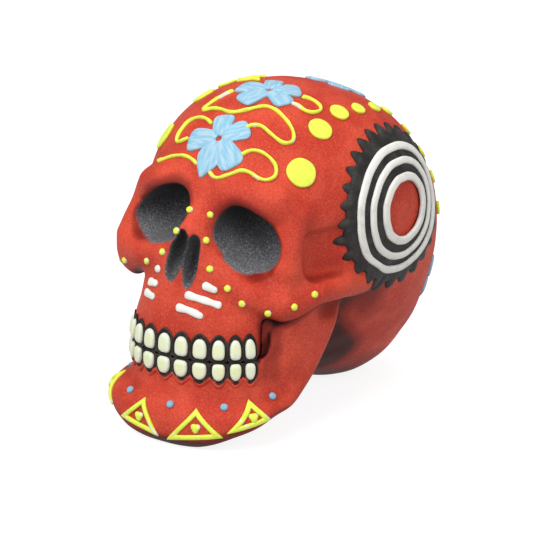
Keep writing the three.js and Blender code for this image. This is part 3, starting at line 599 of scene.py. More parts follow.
class Wire:
    """One output of a material's nodes. Arithmetic on it adds Math nodes, and node() adds any other node."""

    def __init__(self, tree, socket):
        self.tree = tree
        self.socket = socket

    def node(self, kind, settings=None, values=None, out=0):
        made = self.tree.nodes.new(kind)
        for name, value in (settings or {}).items():
            setattr(made, name, value)
        for name, value in (values or {}).items():
            if isinstance(value, Wire):
                self.tree.links.new(value.socket, made.inputs[name])
            else:
                made.inputs[name].default_value = value
        return Wire(self.tree, made.outputs[out])

    def math(self, operation, first, second):
        return self.node("ShaderNodeMath", {"operation": operation}, {0: first, 1: second})

    def __add__(self, other):
        return self.math("ADD", self, other)

    __radd__ = __add__

    def __sub__(self, other):
        return self.math("SUBTRACT", self, other)

    def __rsub__(self, other):
        return self.math("SUBTRACT", other, self)

    def __mul__(self, other):
        return self.math("MULTIPLY", self, other)

    __rmul__ = __mul__

    def between(self, low, high):
        """0 below low, 1 above high, and a smooth step between."""
        limits = {"Value": self, "From Min": low, "From Max": high}
        return self.node("ShaderNodeMapRange", {"interpolation_type": "SMOOTHSTEP"}, limits)


def tint(red, green, blue):
    """Linear colour of an sRGB one, given from 0 to 255."""
    share = np.array([red, green, blue]) / 255
    linear = np.where(share <= 0.04045, share / 12.92, ((share + 0.055) / 1.055) ** 2.4)
    return (*linear.tolist(), 1.0)


def mix(low, high, share):
    """From one colour to another by a share."""
    return share.node("ShaderNodeMix", {"data_type": "RGBA"}, {0: share, 6: low, 7: high}, 2)


def cloud(place, size, detail=2.0):
    """Cloudy value about a half, with lumps about as big as the size in millimetres."""
    values = {"Vector": place, "Scale": 1 / (size * MM), "Detail": detail}
    return place.node("ShaderNodeTexNoise", None, values)


def value_of(place, name):
    """A value that the piece carries at its vertices."""
    return place.node("ShaderNodeAttribute", {"attribute_name": name}, None, 2)


def make_paint(name, recipe, depth, specular=0.25):
    """A paint: its recipe gives colour, roughness and grain height from the place on the object."""
    paint = bpy.data.materials.new(name)
    paint.use_nodes = True
    tree = paint.node_tree
    shader = tree.nodes["Principled BSDF"]
    place = Wire(tree, tree.nodes.new("ShaderNodeTexCoord").outputs["Object"])
    colour, roughness, height = recipe(place)
    bump = place.node("ShaderNodeBump", None, {"Strength": 1.0, "Distance": depth * MM, "Height": height})
    tree.links.new(colour.socket, shader.inputs["Base Color"])
    tree.links.new(roughness.socket, shader.inputs["Roughness"])
    tree.links.new(bump.socket, shader.inputs["Normal"])
    shader.inputs["Specular IOR Level"].default_value = specular
    return paint


def red_recipe(place):
    """Red-orange paint: painted shade in the recesses, worn pale on edges, and dark grey inside the hollows
    with painted light and shade on that grey.
    """
    shade_and_bite_line = value_of(place, "shade_and_bite_line")
    edge = value_of(place, "edge")
    hollow_gap = value_of(place, "hollow")
    grain = cloud(place, 0.8, 3.0)
    colour = mix(tint(190, 54, 33), tint(208, 72, 48), cloud(place, 16, 3.0).between(0.36, 0.64))
    colour = mix(colour, tint(140, 32, 20), grain.between(0.5, 0.75) * 0.45)
    colour = mix(colour, tint(226, 108, 86), grain.between(0.48, 0.3) * 0.3)
    # Painted shade: maroon where the skin is shut in, near black in the deepest places. The same value also
    # carries the real black line painted along the bite.
    shut = shade_and_bite_line + 0.2 * (cloud(place, 5) - 0.5)
    colour = mix(colour, tint(124, 26, 17), shut.between(0.2, 0.5) * 0.75)
    colour = mix(colour, tint(34, 8, 6), shut.between(0.45, 0.85) * 0.9)
    worn = edge.between(0.45, 0.85) * cloud(place, 1.2, 4.0).between(0.58, 0.66)
    worn = worn * cloud(place, 9).between(0.5, 0.62)
    colour = mix(colour, tint(236, 180, 165), worn * 0.45)
    # Grey paint of the hollows, with painted shade near their tops and painted light lower down, where more
    # white specks show.
    light = value_of(place, "light")
    speck = cloud(place, 0.7, 2.0)
    grey = mix(tint(24, 24, 25), tint(116, 116, 120), light)
    grey = mix(grey, tint(16, 16, 17), speck.between(0.46, 0.36) * 0.5)
    grey = mix(grey, tint(205, 205, 206), speck.between(0.58, 0.68) * light.between(0.05, 0.9) * 0.5)
    inside = 1 - (hollow_gap + 0.5 * (cloud(place, 2.5) - 0.5)).between(0.35, 0.9)
    colour = mix(colour, grey, inside)
    roughness = 0.58 + 0.2 * grain
    return colour, roughness, grain + 0.8 * cloud(place, 2.2, 2.0)


def piped_recipe(body, bare, shade):
    """Thick hand-laid paint: a clean body, a darker rim of painted shade at its foot and bare primer where it
    is thin.
    """
    def recipe(place):
        thin = value_of(place, "bare")
        foot = value_of(place, "foot")
        grain = cloud(place, 0.7, 3.0)
        uneven = cloud(place, 4) * 0.8 + grain * 0.2
        colour = mix(tint(*body), tint(*shade), uneven.between(0.5, 0.75) * 0.25)
        # Painted shade near the foot on the skin.
        colour = mix(colour, tint(*shade), foot.between(0.3, 1.0) * 0.8)
        colour = mix(colour, tint(*bare), (thin + 0.5 * (cloud(place, 1.4) - 0.5)).between(0.45, 0.6))
        return colour, 0.48 + 0.2 * grain, grain + cloud(place, 2.5)
    return recipe


def petal_recipe(place):
    """Light blue brushed along each petal, with white and pinkish streaks."""
    along, across = value_of(place, "along"), value_of(place, "across")
    seed = value_of(place, "seed")
    way = place.node("ShaderNodeCombineXYZ", None, {"X": across * 1.1, "Y": along * 0.16, "Z": seed})
    streak = place.node("ShaderNodeTexNoise", None, {"Vector": way, "Scale": 1.0, "Detail": 4.0})
    grain = cloud(place, 0.8, 2.0)
    colour = mix(tint(134, 182, 208), tint(166, 200, 217), streak.between(0.4, 0.62))
    colour = mix(colour, tint(186, 180, 190), (streak + 0.3 * (grain - 0.5)).between(0.58, 0.74) * 0.6)
    # Painted shade near the petals' foot on the skin.
    colour = mix(colour, tint(78, 112, 134), value_of(place, "foot").between(0.5, 1.0) * 0.7)
    return colour, 0.62 + 0.2 * grain, streak + 0.5 * grain


def black_recipe(place):
    """Matte charcoal with paler dust in its grain."""
    grain = cloud(place, 0.7, 3.0)
    colour = mix(tint(33, 31, 30), tint(58, 55, 53), cloud(place, 6).between(0.4, 0.7))
    colour = mix(colour, tint(105, 100, 97), grain.between(0.62, 0.74) * 0.5)
    return colour, 0.5 + 0.25 * grain, grain + cloud(place, 3)


def gap_recipe(place):
    """Thin black over red in the gaps between the teeth, which reads as dark brown."""
    grain = cloud(place, 0.9, 3.0)
    colour = mix(tint(28, 18, 16), tint(62, 33, 26), cloud(place, 2.5).between(0.4, 0.65))
    return colour, 0.6 + 0.2 * grain, grain


def tooth_recipe(place):
    """Pale greenish cream, yellower in its middle."""
    grain = cloud(place, 0.9, 2.0)
    heart = value_of(place, "heart") * cloud(place, 5).between(0.28, 0.52)
    colour = mix(tint(228, 233, 215), tint(232, 236, 172), heart)
    # Painted shade near a pad's foot; the pads are given no foot value, so none shows.
    colour = mix(colour, tint(178, 184, 166), value_of(place, "foot").between(0.3, 1.0) * 0.6)
    colour = mix(colour, tint(198, 204, 188), grain.between(0.6, 0.75) * 0.35)
    return colour, 0.42 + 0.2 * grain, grain


red_paint = make_paint("red_skin", red_recipe, 0.16)
yellow_paint = make_paint("lemon_piping", piped_recipe((228, 242, 84), (228, 228, 216), (150, 140, 30)), 0.1)
white_paint = make_paint("white_piping", piped_recipe((236, 235, 228), (238, 237, 232), (150, 140, 132)), 0.1)
dot_paint = make_paint("blue_dots", piped_recipe((138, 176, 200), (200, 208, 214), (74, 98, 118)), 0.12)
petal_paint = make_paint("brushed_petals", petal_recipe, 0.07)
black_paint = make_paint("charcoal", black_recipe, 0.14)
gap_paint = make_paint("tooth_gaps", gap_recipe, 0.12)
tooth_paint = make_paint("tooth_cream", tooth_recipe, 0.06, 0.45)


# Brain case and lower jaw

SKIN_STEP = 0.95
JAW_WEAR = 0.55


def whole_field(p):
    """Skull and lower jaw together."""
    return np.minimum(cranium_field(p), jaw_field(p))


def shading_values(points, field):
    """How shut in each point is, which becomes painted shade, and how sharp its edge, from the distance a few
    steps out and in.
    """
    out = outward(field, points)
    shade_and_bite_line = 0.0
    # The floor shuts points in as well, so painted shade gathers where the skin meets it.
    for far, share in ((3, 0.2), (7, 0.3), (14, 0.3), (26, 0.2)):
        ahead = points + far * out
        free = np.minimum(whole_field(ahead), ahead[:, 2] + 2)
        shade_and_bite_line = shade_and_bite_line + share * np.clip(1 - free / far, 0, 1)
    deep = 2.5
    edge = np.clip(1 + field(points - deep * out) / deep, 0, 1)
    return {"shade_and_bite_line": shade_and_bite_line, "edge": edge}


def fading(distance, reach):
    """1 on and inside a skin, and falling away outside it over about the reach."""
    return np.exp(-((np.maximum(distance, 0) / reach) ** 2))


def shade_behind_jaw(points):
    """Painted shade on the skull behind the lower jaw, near the jaw and between its two sides."""
    x, y, z = points.T
    near_jaw = fading(jaw_field(points), 23)
    facing_jaw = (1 - smooth_step(np.abs(x), 28, 42)) * (1 - smooth_step(y, 10, 26))
    behind = smooth_step(y, -32, -20) * (1 - smooth_step(z, 50, 60))
    return 0.95 * behind * np.maximum(near_jaw, facing_jaw)


def shade_under_cheek(points):
    """Painted shade on the lower jaw, in the trough behind the last tooth and on the ramus under the cheek.
    """
    past = past_corner(right_half(points))
    height = points[:, 2]
    trough = smooth_step(past, -1, 2) * (1 - smooth_step(past, 5, 14)) * smooth_step(height, 14, 30)
    trough = trough * (0.42 + 0.2 * smooth_step(height, 34, 50))
    below = fading(skull_field(points), 4) * smooth_step(height, 38, 46)
    return np.maximum(trough, 0.65 * below)


def add_skin(name, field, low, high, node):
    """A casting's skin with the values that its paint reads, painted shade among them."""
    points, quads = skin_of(field, low, high, SKIN_STEP)
    points = evened(field, points, quads)
    values = shading_values(points, field)
    socket, nostril = hollow_field(points)
    q = right_half(points)
    # Painted light and shade inside the hollows: their grey is darkest towards the top and lighter lower
    # down.
    socket_height = np.where(points[:, 0] < 0, LEFT_SOCKET[0][2], RIGHT_SOCKET[0][2])
    in_socket = 0.5 + (socket_height - q[:, 2]) / 24
    in_nostril = 0.3 + (RIGHT_NOSTRIL[0][2] - q[:, 2]) / 40
    # Painted shade along the top of each socket, under the brow.
    over_socket = smooth_step(q[:, 2] - socket_height, 3, 11) * fading(socket, 5)
    # A real black line painted along the bite, darkened through the same value as the painted shade.
    bite_line = fading(np.abs(points[:, 2] - BITE), 1.1) * (past_corner(q) < 0)
    painted = [0.6 * over_socket, bite_line]
    if node == "cranium":
        painted.append(shade_behind_jaw(points))
        values["hollow"] = np.minimum(socket, nostril)
    else:
        painted.append(shade_under_cheek(points))
        values["hollow"] = FAR
        values["edge"] = JAW_WEAR * values["edge"]
    # The painted shade from the skin's shape, the painted shade marks and the bite line are merged into one
    # value.
    values["shade_and_bite_line"] = np.maximum(values["shade_and_bite_line"], np.max(painted, axis=0))
    values["light"] = np.clip(np.where(socket < nostril, in_socket, in_nostril), 0, 1)
    shell = (points, quads, np.zeros((0, 3), int), None)
    add_piece(name, shell, red_paint, [node], values)


add_skin("skull_skin", cranium_field, (-60, -80, -3), (60, 86, 140), "cranium")
add_skin("jaw_skin", mandible_field, (-48, -86, -3), (48, 2, 66), "mandible")


# Teeth

TOOTH_EDGES = [0, 14.5, 28.5, 40.5, 51, 60.5]
PAD_PROFILE = [
    (0.3, 1.9), (0.6, 1.88), (0.8, 1.75), (0.91, 1.5), (0.98, 1.05), (1.0, 0.5), (0.98, -0.4), (0.4, -0.4),
]
GAP_PROFILE = [(0.4, 0.5), (0.85, 0.5), (0.97, 0.4), (1.0, 0.1), (0.97, -0.4), (0.4, -0.4)]
HEART_REACH = 3.4
FRAME_SHARE = 0.49
CREST_TOP = 28.6
CREST_DIP = 25.6


def tooth_places():
    """Middle angle and width of the five teeth on each side, from the middle outwards."""
    for first, last in zip(TOOTH_EDGES, TOOTH_EDGES[1:]):
        for side in (1, -1):
            here = round_jaw(jaw_field, np.array([first, last]) * side, np.full(2, BITE - 5.0))
            yield side * (first + last) / 2, np.linalg.norm(here[1] - here[0])


def add_tooth_row(name, field, middle, pad_share, pad_shape, frame_shape, node):
    """A row of pillow-like teeth, each in a black painted frame over a dark gap."""
    pads, frames, gaps = [], [], []
    hearts = []
    for angle, width in tooth_places():
        place = round_jaw(field, np.array([angle]), np.array([middle]))[0]
        up = (0, 0, 1)
        pad = dome(field, place, up, round_outline(40, tongue(pad_share * width, *pad_shape)), PAD_PROFILE)
        hearts.append(np.clip(1 - np.linalg.norm(pad[3], axis=1) / HEART_REACH, 0, 1))
        pads.append(pad)
        rim = round_outline(44, tongue(FRAME_SHARE * width, *frame_shape))
        gaps.append(dome(field, place, up, rim, GAP_PROFILE))
        round_angle = full_turn(8)
        thick = 0.45
        grow = 1 + thick * np.cos(round_angle)[:, None] / np.linalg.norm(rim, axis=1)
        flat = grow[..., None] * rim
        heights = 0.4 + 0.42 * np.sin(round_angle)[:, None]
        frames.append(looped(pressed(field, place, up, flat, heights), flat))
    values = {"heart": np.concatenate(hearts), "foot": 0.0}
    add_piece(f"{name}_pads", joined(pads), tooth_paint, [node], values)
    add_piece(f"{name}_frames", joined(frames), black_paint)
    add_piece(f"{name}_gaps", joined(gaps), gap_paint)


# Height of the middles, half a pad's share of a tooth, then the top and bottom of pads and frames with their
# powers.
add_tooth_row("upper_row", skull_field, 40.2, 0.345, (4.2, 2.2, 3.6, 4), (6, 1.8, 4.7, 5), "upper_teeth")
add_tooth_row("lower_row", jaw_field, 31.9, 0.355, (2.7, 4, 3.9, 2.1), (3.2, 5, 5.3, 1.9), "lower_teeth")


def add_gum_crest():
    """A thin crest that dips under each lower tooth and rises between the teeth."""
    edges = [-a for a in TOOTH_EDGES[:0:-1]] + TOOTH_EDGES
    knots = []
    for first, last in zip(edges, edges[1:]):
        knots += [(first, CREST_TOP), ((first + last) / 2, CREST_DIP)]
    knots.append((edges[-1], CREST_TOP))
    path = smooth_path(knots, 0.7)
    places = round_jaw(jaw_field, path[:, 0], path[:, 1])
    # The crest carries an even painted shade.
    values = {"hollow": FAR, "shade_and_bite_line": 0.25, "edge": 0.5, "light": 0.0}
    add_piece("gum_crest", piped(jaw_field, places, 0.9, 0.8), red_paint, (), values)


add_gum_crest()


# Rosettes

COG_TEETH = 28
TEMPLE_CENTRES = {1: (0, 9.2, 80.6), -1: (0, 19, 78)}
TEMPLE_TILT = math.radians(6)
PLATE_PROFILE = [
    (11.7, -0.4), (11.7, 0.8), (12, 1.3), (13, 1.45), (17, 1.45), (21, 1.45), (25, 1.45), (28.4, 1.5),
    (29.4, 1.4), (29.9, 1.0), (30.0, 0.4), (29.6, -0.4), (25, -0.4), (20, -0.4), (14, -0.4),
]
LEAF_PROFILE = [(0.25, 1.75), (0.5, 1.6), (0.75, 1.25), (0.92, 0.75), (1.0, 0.2), (0.95, -0.4), (0.4, -0.4)]
LEAF_RADIUS = 29.6
LEAF_REACH = 4.6
LEAF_HALF_WIDTH = 3.1
RINGS = {"outer": (23, 25.9), "middle": (17.6, 20.3), "inner": (11.1, 14.3)}


def temple_points(side, radius, angle, heights):
    """Points over a temple in polar coordinates: straight lines across it meet the skin, then rise."""
    out = np.array([side * math.cos(TEMPLE_TILT), 0, math.sin(TEMPLE_TILT)])
    rise = np.array([-side * math.sin(TEMPLE_TILT), 0, math.cos(TEMPLE_TILT)])
    start = np.array(TEMPLE_CENTRES[side]) + START_BESIDE * out
    start = start + (radius * np.sin(angle))[..., None] * rise
    start = start + (radius * np.cos(angle))[..., None] * np.array([0, 1, 0])
    skin = meet(skull_field, start, -out)
    return skin + heights[..., None] * outward(skull_field, skin)


def wheel(side, profile, count, wobble):
    """A ring on the temple, a little longer than high: a closed (radius, height) profile carried round."""
    radius, heights = np.array(profile, float).T
    angle = full_turn(count)
    uneven = wobble * (np.sin(3 * angle + 1) + 0.7 * np.sin(7 * angle) + 0.5 * np.sin(13 * angle + 2))
    grid_radius = (radius[:, None] + uneven) * (1 + 0.06 * np.cos(angle) ** 2)
    grid_angle = np.broadcast_to(angle, grid_radius.shape)
    rings = temple_points(side, grid_radius, grid_angle, heights[:, None])
    return looped(rings, np.stack([grid_radius, grid_angle], -1))


def leaf(side, turn):
    """One tooth of the plate: a leaf-shaped dome that points away from the rosette's middle."""
    around = full_turn(18)
    shares, heights = np.array(LEAF_PROFILE).T
    outwards = shares[:, None] * np.cos(around)
    sideways = shares[:, None] * np.sin(around) * (1 - 0.3 * np.cos(around))
    radius = LEAF_RADIUS + LEAF_REACH * outwards
    angle = turn + LEAF_HALF_WIDTH * sideways / radius
    rings = temple_points(side, radius, angle, heights[:, None])
    return capped(rings, np.stack([outwards, sideways], -1))


def add_rosette(side_name, side):
    """The toothed plate and its three white rings."""
    plate = [wheel(side, PLATE_PROFILE, 112, 0.05)] + [leaf(side, turn) for turn in full_turn(COG_TEETH)]
    name = f"{side_name}_rosette"
    add_piece(f"{name}_cog", joined(plate), black_paint, [f"{name}_plate"])
    for ring, (inner, outer) in RINGS.items():
        profile = [(inner, 0.9), (inner, 1.9), (inner + 0.35, 2.3), (inner + 0.9, 2.4), (outer - 0.9, 2.4),
                   (outer - 0.35, 2.3), (outer, 1.9), (outer, 0.9)]
        shell = wheel(side, profile, 112, 0.12)
        add_piece(f"{name}_{ring}_band", shell, white_paint, [f"{name}_ring_{ring}"])


SIDES = {"right": 1, "left": -1}
for side_name, side in SIDES.items():
    add_rosette(side_name, side)


# Discs and dots

DISC_PROFILE = [
    (0.4, 1.15), (0.75, 1.15), (0.88, 1.1), (0.95, 0.98), (0.99, 0.75), (1.0, 0.4), (0.98, -0.4), (0.4, -0.4),
]
DOT_PROFILE = [(0.25, 1.3), (0.5, 1.25), (0.75, 1.05), (0.92, 0.7), (1.0, 0.3), (0.97, -0.4), (0.4, -0.4)]
FOOT_HEIGHT = 0.8
LEFT_ARC_SHIFT = (5, 9, 0)
DISCS = [
    ((34.8, -35.4, 107.5), 6), ((31.6, -17.3, 120.6), 5), ((32.3, -2.8, 126), 4.1), ((34.5, 8.8, 126), 3.1),
    ((34.5, 22, 124), 2.9), ((33, 34, 119), 2.8), ((36.5, 45, 110), 2.8), ((39.5, 52.5, 99), 2.8),
    ((43.5, 55, 88), 2.8), ((46.5, 54.5, 75), 2.8),
]


def uneven_circle(radius, phase):
    """Reach of a hand-laid disc: a circle with two faint waves."""
    def reach(angle):
        return radius * (1 + 0.012 * np.sin(2 * angle + phase) + 0.01 * np.sin(5 * angle + 2 * phase))
    return reach


def foot_of(points, field):
    """How near each point of a raised piece is to its foot on the skin."""
    return np.clip(1 - field(points) / FOOT_HEIGHT, 0, 1)


def add_raised(name, shell, field, paint, nodes=(), bare=0.0):
    """A piece raised from a skin, with painted shade at its foot, and bare primer where its paint is thin."""
    add_piece(name, shell, paint, nodes, {"bare": bare, "foot": foot_of(shell[0], field)})


for side_name, side in SIDES.items():
    for k, (place, radius) in enumerate(DISCS):
        shift = np.array(LEFT_ARC_SHIFT if side < 0 else (0, 0, 0))
        middle = np.array(place) * (side, 1, 1) + shift
        outline = round_outline(48, uneven_circle(radius, k))
        shell = dome(skull_field, middle, (0, 1, 0), outline, DISC_PROFILE)
        name, node = f"{side_name}_arc_disc_{k + 1}", f"{side_name}_disc_{k + 1}"
        add_raised(name, shell, skull_field, yellow_paint, [node])

FACE_DOT = 1.4
FACE_DOTS = [
    (6.8, -58, 90.8), (8.2, -62.9, 81.8), (11.5, -64.9, 71.2), (18.8, -63.4, 64.2), (24.6, -61.8, 58.7),
    (33.4, -56.8, 55.1), (41.6, -50.9, 57.5), (45.4, -41.9, 61), (-0.5, -61.2, 92.3), (-2.3, -67.6, 85),
    (-10.8, -64.9, 74.4), (-19.9, -62.7, 68.6), (-35.2, -56.5, 64.9), (-41, -50, 63), (-45, -42, 64),
]


def primed(flat, reach, way):
    """Bare primer on one edge of a dot, in the direction of an angle."""
    return smooth_step((flat @ np.array([math.cos(way), math.sin(way)])) / reach, 0.5, 1.05)


for k, place in enumerate(FACE_DOTS):
    shell = dome(skull_field, place, (0, 0, 1), round_outline(24, uneven_circle(FACE_DOT, k)), DOT_PROFILE)
    bare = primed(shell[3], FACE_DOT, 0.4 + 0.5 * math.sin(3 * k))
    add_raised(f"face_dot_{k + 1}", shell, skull_field, yellow_paint, (), bare)

CHIN_DOT = 1.6
CHIN_DOTS = {
    "middle": (3.6, 17.4), "right_near": (37.8, 18.6), "left_near": (-30.2, 18),
    "right_far": (69, 20.6), "left_far": (-69, 20),
}
for k, (name, (angle, height)) in enumerate(CHIN_DOTS.items()):
    place = round_jaw(jaw_field, np.array([float(angle)]), np.array([float(height)]))[0]
    shell = dome(jaw_field, place, (0, 0, 1), round_outline(24, uneven_circle(CHIN_DOT, 2 * k)), DOT_PROFILE)
    bare = 0.4 * primed(shell[3], CHIN_DOT, 2.2)
    add_raised(f"chin_bead_{name}", shell, jaw_field, dot_paint, [f"chin_dot_{name}"], bare)


# Flowers

# Petals by turn and length, and whether each is pointed. Flowers by middle, upward direction and petals.
EVEN_PETALS = [(90 + 72 * k, 13.5, 0) for k in range(5)]
FOREHEAD_PETALS = [(37, 13.2, 0), (102, 12.6, 0), (186, 15, 0), (264, 18, 1), (316, 15.2, 0)]
TOP_PETALS = [(42, 13.2, 0), (110, 11.2, 0), (182, 15, 0), (246, 14.2, 0), (336, 12.8, 0)]
FLOWERS = {
    "forehead": ((1.2, -44, 118), (0, 0, 1), FOREHEAD_PETALS),
    "top": ((5.6, -14, 133), (0, 1, 0), TOP_PETALS),
    "crown": ((9, 33, 128), (0, 1, 0), EVEN_PETALS),
    "back": ((0, 78, 80), (0, 0, 1), EVEN_PETALS),
    "right_nape": ((31, 59, 47), (0, 0, 1), EVEN_PETALS),
    "left_nape": ((-31, 59, 47), (0, 0, 1), EVEN_PETALS),
}
FLOWER_EYE = 1.3
FLOWER_PROFILE = [
    (0, -0.4), (0, 0.6), (0.02, 1.0), (0.1, 1.15), (0.3, 1.15), (0.5, 1.15), (0.7, 1.15), (0.84, 1.13),
    (0.93, 1.02), (0.98, 0.75), (1.0, 0.35), (0.99, -0.4),
]


def flower_reach(petals, angle):
    """How far a flower reaches at angles: the farthest place that is still inside one of its petals.

    A petal is a squared oval from the flower's middle to its own length, narrower at the middle, and a
    pointed one narrows towards its tip as well.
    """
    reach = np.linspace(0.1, 18, 360)[:, None]
    farthest = np.full(angle.shape, 3.0)
    for turn, length, pointed in petals:
        off = angle - math.radians(turn)
        along = reach * np.cos(off) / length
        half_width = 0.4 * length * (0.55 + 0.5 * along) * (1 - 0.9 * pointed * np.clip(2 * along - 1, 0, 1))
        across = reach * np.sin(off) / np.maximum(half_width, 0.1)
        inside = np.abs(2 * along - 1) ** 3.5 + np.abs(across) ** 3.5 < 1
        farthest = np.maximum(farthest, np.where(inside, reach, 0).max(0))
    return farthest


def flower(middle, up, petals):
    """A flat lobed flower with a small open eye, and a faint groove between its petals."""
    angle = full_turn(200)
    shares, heights = np.array(FLOWER_PROFILE).T
    radius = FLOWER_EYE + shares[:, None] * (flower_reach(petals, angle) - FLOWER_EYE)
    turns = np.radians([turn for turn, _, _ in petals])
    off = np.angle(np.exp(1j * (angle[:, None] - turns)))
    nearest, second = np.sort(np.abs(off), 1)[:, :2].T
    owner = np.abs(off).argmin(1)
    off = off[np.arange(len(angle)), owner]
    groove = 0.3 * np.exp(-((radius * (second - nearest) / 0.9) ** 2)) * (heights[:, None] > 0.9)
    flat = radius[..., None] * np.stack([np.cos(angle), np.sin(angle)], -1)
    rings = pressed(skull_field, middle, up, flat, heights[:, None] - groove)
    shell = looped(rings, np.stack([radius * np.cos(off), radius * np.sin(off)], -1))
    return shell, np.tile(7.3 * owner, len(shares))


for name, (middle, up, petals) in FLOWERS.items():
    shell, seed = flower(middle, up, petals)
    along, across = shell[3].T
    foot = foot_of(shell[0], skull_field)
    values = {"along": along, "across": across, "seed": seed, "foot": foot}
    add_piece(f"petals_{name}", shell, petal_paint, [f"flower_{name}"], values)


# Scrolls and dashes

SCROLL_HALF_WIDTH = 0.78
SCROLL_HEIGHT = 1.3
DASH_HALF_WIDTH = 1.5
DASH_HEIGHT = 1.0
DASH_POWER = 3.6
SCROLLS = {
    "over_brow": [
        (-8.5, -17.8), (-11, -20.5), (-13, -24), (-14.8, -27.5), (-14.8, -30.3), (-10.8, -30.4), (-6, -31.2),
        (-0.5, -32.5), (4.5, -30.2), (10, -25), (14, -24), (20, -25.2), (25, -27.2), (27, -30.3),
        (24.5, -33.6), (19.5, -34.1), (14.5, -33.7), (11, -35.4), (9.5, -37.5),
    ],
    "left_loop": [
        (-5.5, -38.5), (-9.8, -35.9), (-14, -34.4), (-17.2, -34), (-19.8, -35.2), (-21, -38), (-20.4, -41.2),
        (-17.8, -42.5), (-13.5, -42.7),
    ],
    "left_tail": [
        (-26.2, -46.5), (-22.5, -46.9), (-18.6, -47.2), (-15, -47.7), (-10.8, -48.7), (-6.9, -50),
        (-3.6, -51.4),
    ],
    "right_loop": [
        (12.6, -45.5), (15, -43.1), (17.1, -41.8), (20, -40.8), (23.5, -40.3), (26, -40.7), (26.9, -43),
        (25.5, -46.6), (22.6, -48.3), (18.5, -48.3), (15.2, -49.3), (12, -51.7), (8.2, -53.5), (5.3, -53.6),
        (2.8, -52.6),
    ],
    "right_crown": [
        (17.6, -9), (19.5, -7.5), (22, -6.6), (25, -7.1), (26.6, -8.9), (26.3, -12), (25, -14.3),
        (22.6, -15.5), (20, -15.3), (17, -16),
    ],
    "left_crown": [
        (-5.5, -3.8), (-10.6, -2), (-14, -2), (-17.5, -1), (-19, 2), (-17, 5), (-12.5, 6), (-8, 5),
    ],
}


def from_above(plan):
    """Skin points under points in plan."""
    start = np.concatenate([plan, np.full((len(plan), 1), START_OVER)], 1)
    return meet(skull_field, start, np.array([0.0, 0.0, -1.0]))


for k, (name, plan) in enumerate(SCROLLS.items()):
    path = from_above(smooth_path(plan, 0.6))
    shell = piped(skull_field, path, SCROLL_HALF_WIDTH, SCROLL_HEIGHT)
    run, across = shell[3].T
    patches = smooth_step(np.sin(run * 0.31 + 1.7 * k) * np.cos(run * 0.083 + k), 0.2, 0.9)
    bare = 0.75 * patches * smooth_step(across / SCROLL_HALF_WIDTH, -0.5, 0.7)
    add_raised(f"piped_{name}", shell, skull_field, yellow_paint, [f"scroll_{name}"], bare)

DASHES = {
    "right_upper": [(9.4, 65.2), (15.2, 62.8)],
    "right_middle": [(2.9, 60.7), (10.6, 59.3), (17.4, 57.2)],
    "right_lower": [(-0.2, 55.4), (6.2, 54.7), (11.9, 52.9)],
    "left_upper": [(-12.7, 69), (-12.1, 65.8)],
    "left_middle": [(-17.4, 61.3), (-11.2, 61.9)],
    "left_lower": [(-18.4, 57.2), (-11.6, 56.6)],
}


def from_front(plan):
    """Skin points behind points seen from the front."""
    start = np.stack([plan[:, 0], np.full(len(plan), -START_OVER), plan[:, 1]], -1)
    return meet(skull_field, start, np.array([0.0, 1.0, 0.0]))


for name, ends in DASHES.items():
    path = from_front(smooth_path(ends, 0.4))
    shell = piped(skull_field, path, DASH_HALF_WIDTH, DASH_HEIGHT, DASH_POWER)
    add_raised(f"white_{name}", shell, skull_field, white_paint, [f"dash_{name}"])


# Chin triangles

TRIANGLE_PROFILE = [
    (0, -0.4), (0, 0.6), (0.3, 0.95), (0.6, 1.05), (1.3, 1.05), (1.6, 0.95), (1.9, 0.6), (1.9, -0.4),
]
STUD = 1.9
TRIANGLES = {
    "right_inner": [(3, 3.6), (37, 7.8), (21.6, 17.6)],
    "left_inner": [(-30.5, 7.8), (-2.4, 4.2), (-15.2, 17.6)],
    "right_outer": [(38.6, 9.4), (63.4, 13.4), (53, 20.6)],
    "left_outer": [(-66.4, 13.4), (-42, 9.6), (-55, 20.6)],
}
CHIN_ROUND = 45


def add_triangle(name, corners):
    """A mitred frame: the triangle's outline is drawn in towards its middle by each step of the profile."""
    corner = np.array(corners, float) * (math.radians(1) * CHIN_ROUND, 1)
    sides = np.linalg.norm(np.roll(corner, -1, 0) - corner, axis=1)
    opposite = np.roll(sides, -1)
    heart = (opposite[:, None] * corner).sum(0) / opposite.sum()
    edge = corner[1] - corner[0]
    inner_radius = abs(edge[0] * (heart - corner[0])[1] - edge[1] * (heart - corner[0])[0]) / sides[0]
    t = np.linspace(0, 1, 14, endpoint=False)[:, None]
    outline = np.concatenate([a + (b - a) * t for a, b in zip(corner, np.roll(corner, -1, 0))])
    drawn_in, heights = np.array(TRIANGLE_PROFILE).T
    flat = heart + (1 - drawn_in / inner_radius)[:, None, None] * (outline - heart)
    skin = round_jaw(jaw_field, np.degrees(flat[..., 0] / CHIN_ROUND), flat[..., 1])
    rings = skin + heights[:, None, None] * outward(jaw_field, skin)
    shell = looped(rings, flat)
    patches = smooth_step(np.sin(flat[..., 0] * 0.5 + flat[..., 1] * 0.6).ravel(), 0.6, 1)
    bare = 0.6 * patches * (shell[3][:, 1] < heart[1])
    node = f"chin_triangle_{name}"
    add_raised(f"frame_{name}", shell, jaw_field, yellow_paint, [node], bare)
    middle = round_jaw(jaw_field, np.degrees(heart[:1] / CHIN_ROUND), heart[1:] - 0.4)[0]
    outline = round_outline(24, lambda a: STUD * (1 + 0.16 * np.sin(3 * a)))
    stud = dome(jaw_field, middle, (0, 0, 1), outline, DOT_PROFILE)
    bare = primed(stud[3], STUD, 0.6)
    add_raised(f"stud_{name}", stud, jaw_field, yellow_paint, (), bare)


for name, corners in TRIANGLES.items():
    add_triangle(name, corners)


# Camera, light and floor

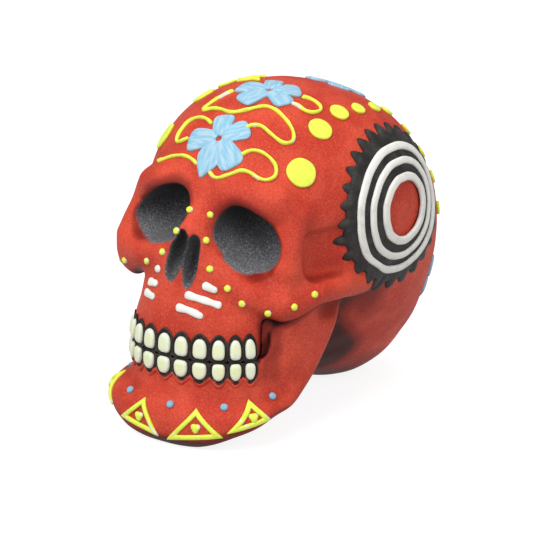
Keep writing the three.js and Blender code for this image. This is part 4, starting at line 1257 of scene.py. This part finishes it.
def add_camera():
    """A long lens at the photograph's viewing angle, turned a little about its own axis."""
    eye = Vector((0.48193, -0.76827, 0.32553))
    aim = Vector((0.00765, -0.01761, 0.060))
    ahead = (aim - eye).normalized()
    roll = math.radians(0.78)
    level = ahead.cross(Vector((0, 0, 1))).normalized()
    right = math.cos(roll) * level + math.sin(roll) * level.cross(ahead)
    data = bpy.data.cameras.new("camera")
    data.lens = 153.2
    data.sensor_width = 36
    camera = bpy.data.objects.new("camera", data)
    bpy.context.collection.objects.link(camera)
    columns = Matrix((right, right.cross(ahead), -ahead)).transposed()
    camera.matrix_world = Matrix.Translation(eye) @ columns.to_4x4()
    bpy.context.scene.camera = camera


def add_light(name, place, size, power):
    """A square soft box that faces the skull."""
    data = bpy.data.lights.new(name, "AREA")
    data.size = size
    data.energy = power
    light = bpy.data.objects.new(name, data)
    bpy.context.collection.objects.link(light)
    light.location = place
    middle = Vector((0, 0, 0.06))
    light.rotation_euler = (middle - Vector(place)).to_track_quat("-Z", "Y").to_euler()


def add_floor():
    """A wide floor that glows white, and that sends no light back up to the skull."""
    half = 12.0
    corners = [(-half, -half, 0), (half, -half, 0), (half, half, 0), (-half, half, 0)]
    mesh = bpy.data.meshes.new("floor")
    mesh.from_pydata(corners, [], [(0, 1, 2, 3)])
    paper = bpy.data.materials.new("white_paper")
    paper.use_nodes = True
    shader = paper.node_tree.nodes["Principled BSDF"]
    shader.inputs["Base Color"].default_value = (0.3, 0.3, 0.3, 1)
    shader.inputs["Roughness"].default_value = 0.9
    shader.inputs["Emission Color"].default_value = (1, 1, 1, 1)
    shader.inputs["Emission Strength"].default_value = 0.85
    mesh.materials.append(paper)
    floor = bpy.data.objects.new("floor", mesh)
    bpy.context.collection.objects.link(floor)
    floor.visible_diffuse = False


def add_world():
    """Even white light from all round."""
    world = bpy.data.worlds.new("studio")
    world.use_nodes = True
    world.node_tree.nodes["Background"].inputs["Color"].default_value = (1, 1, 1, 1)
    world.node_tree.nodes["Background"].inputs["Strength"].default_value = 0.4
    bpy.context.scene.world = world


add_camera()
add_light("key", (-0.1, -1.0, 1.0), 0.9, 14)
add_light("fill", (1.2, -0.5, 0.7), 0.9, 6)
add_light("top", (0.1, 0.2, 1.35), 0.9, 5)
add_floor()
add_world()
bpy.context.scene.view_settings.view_transform = "Standard"
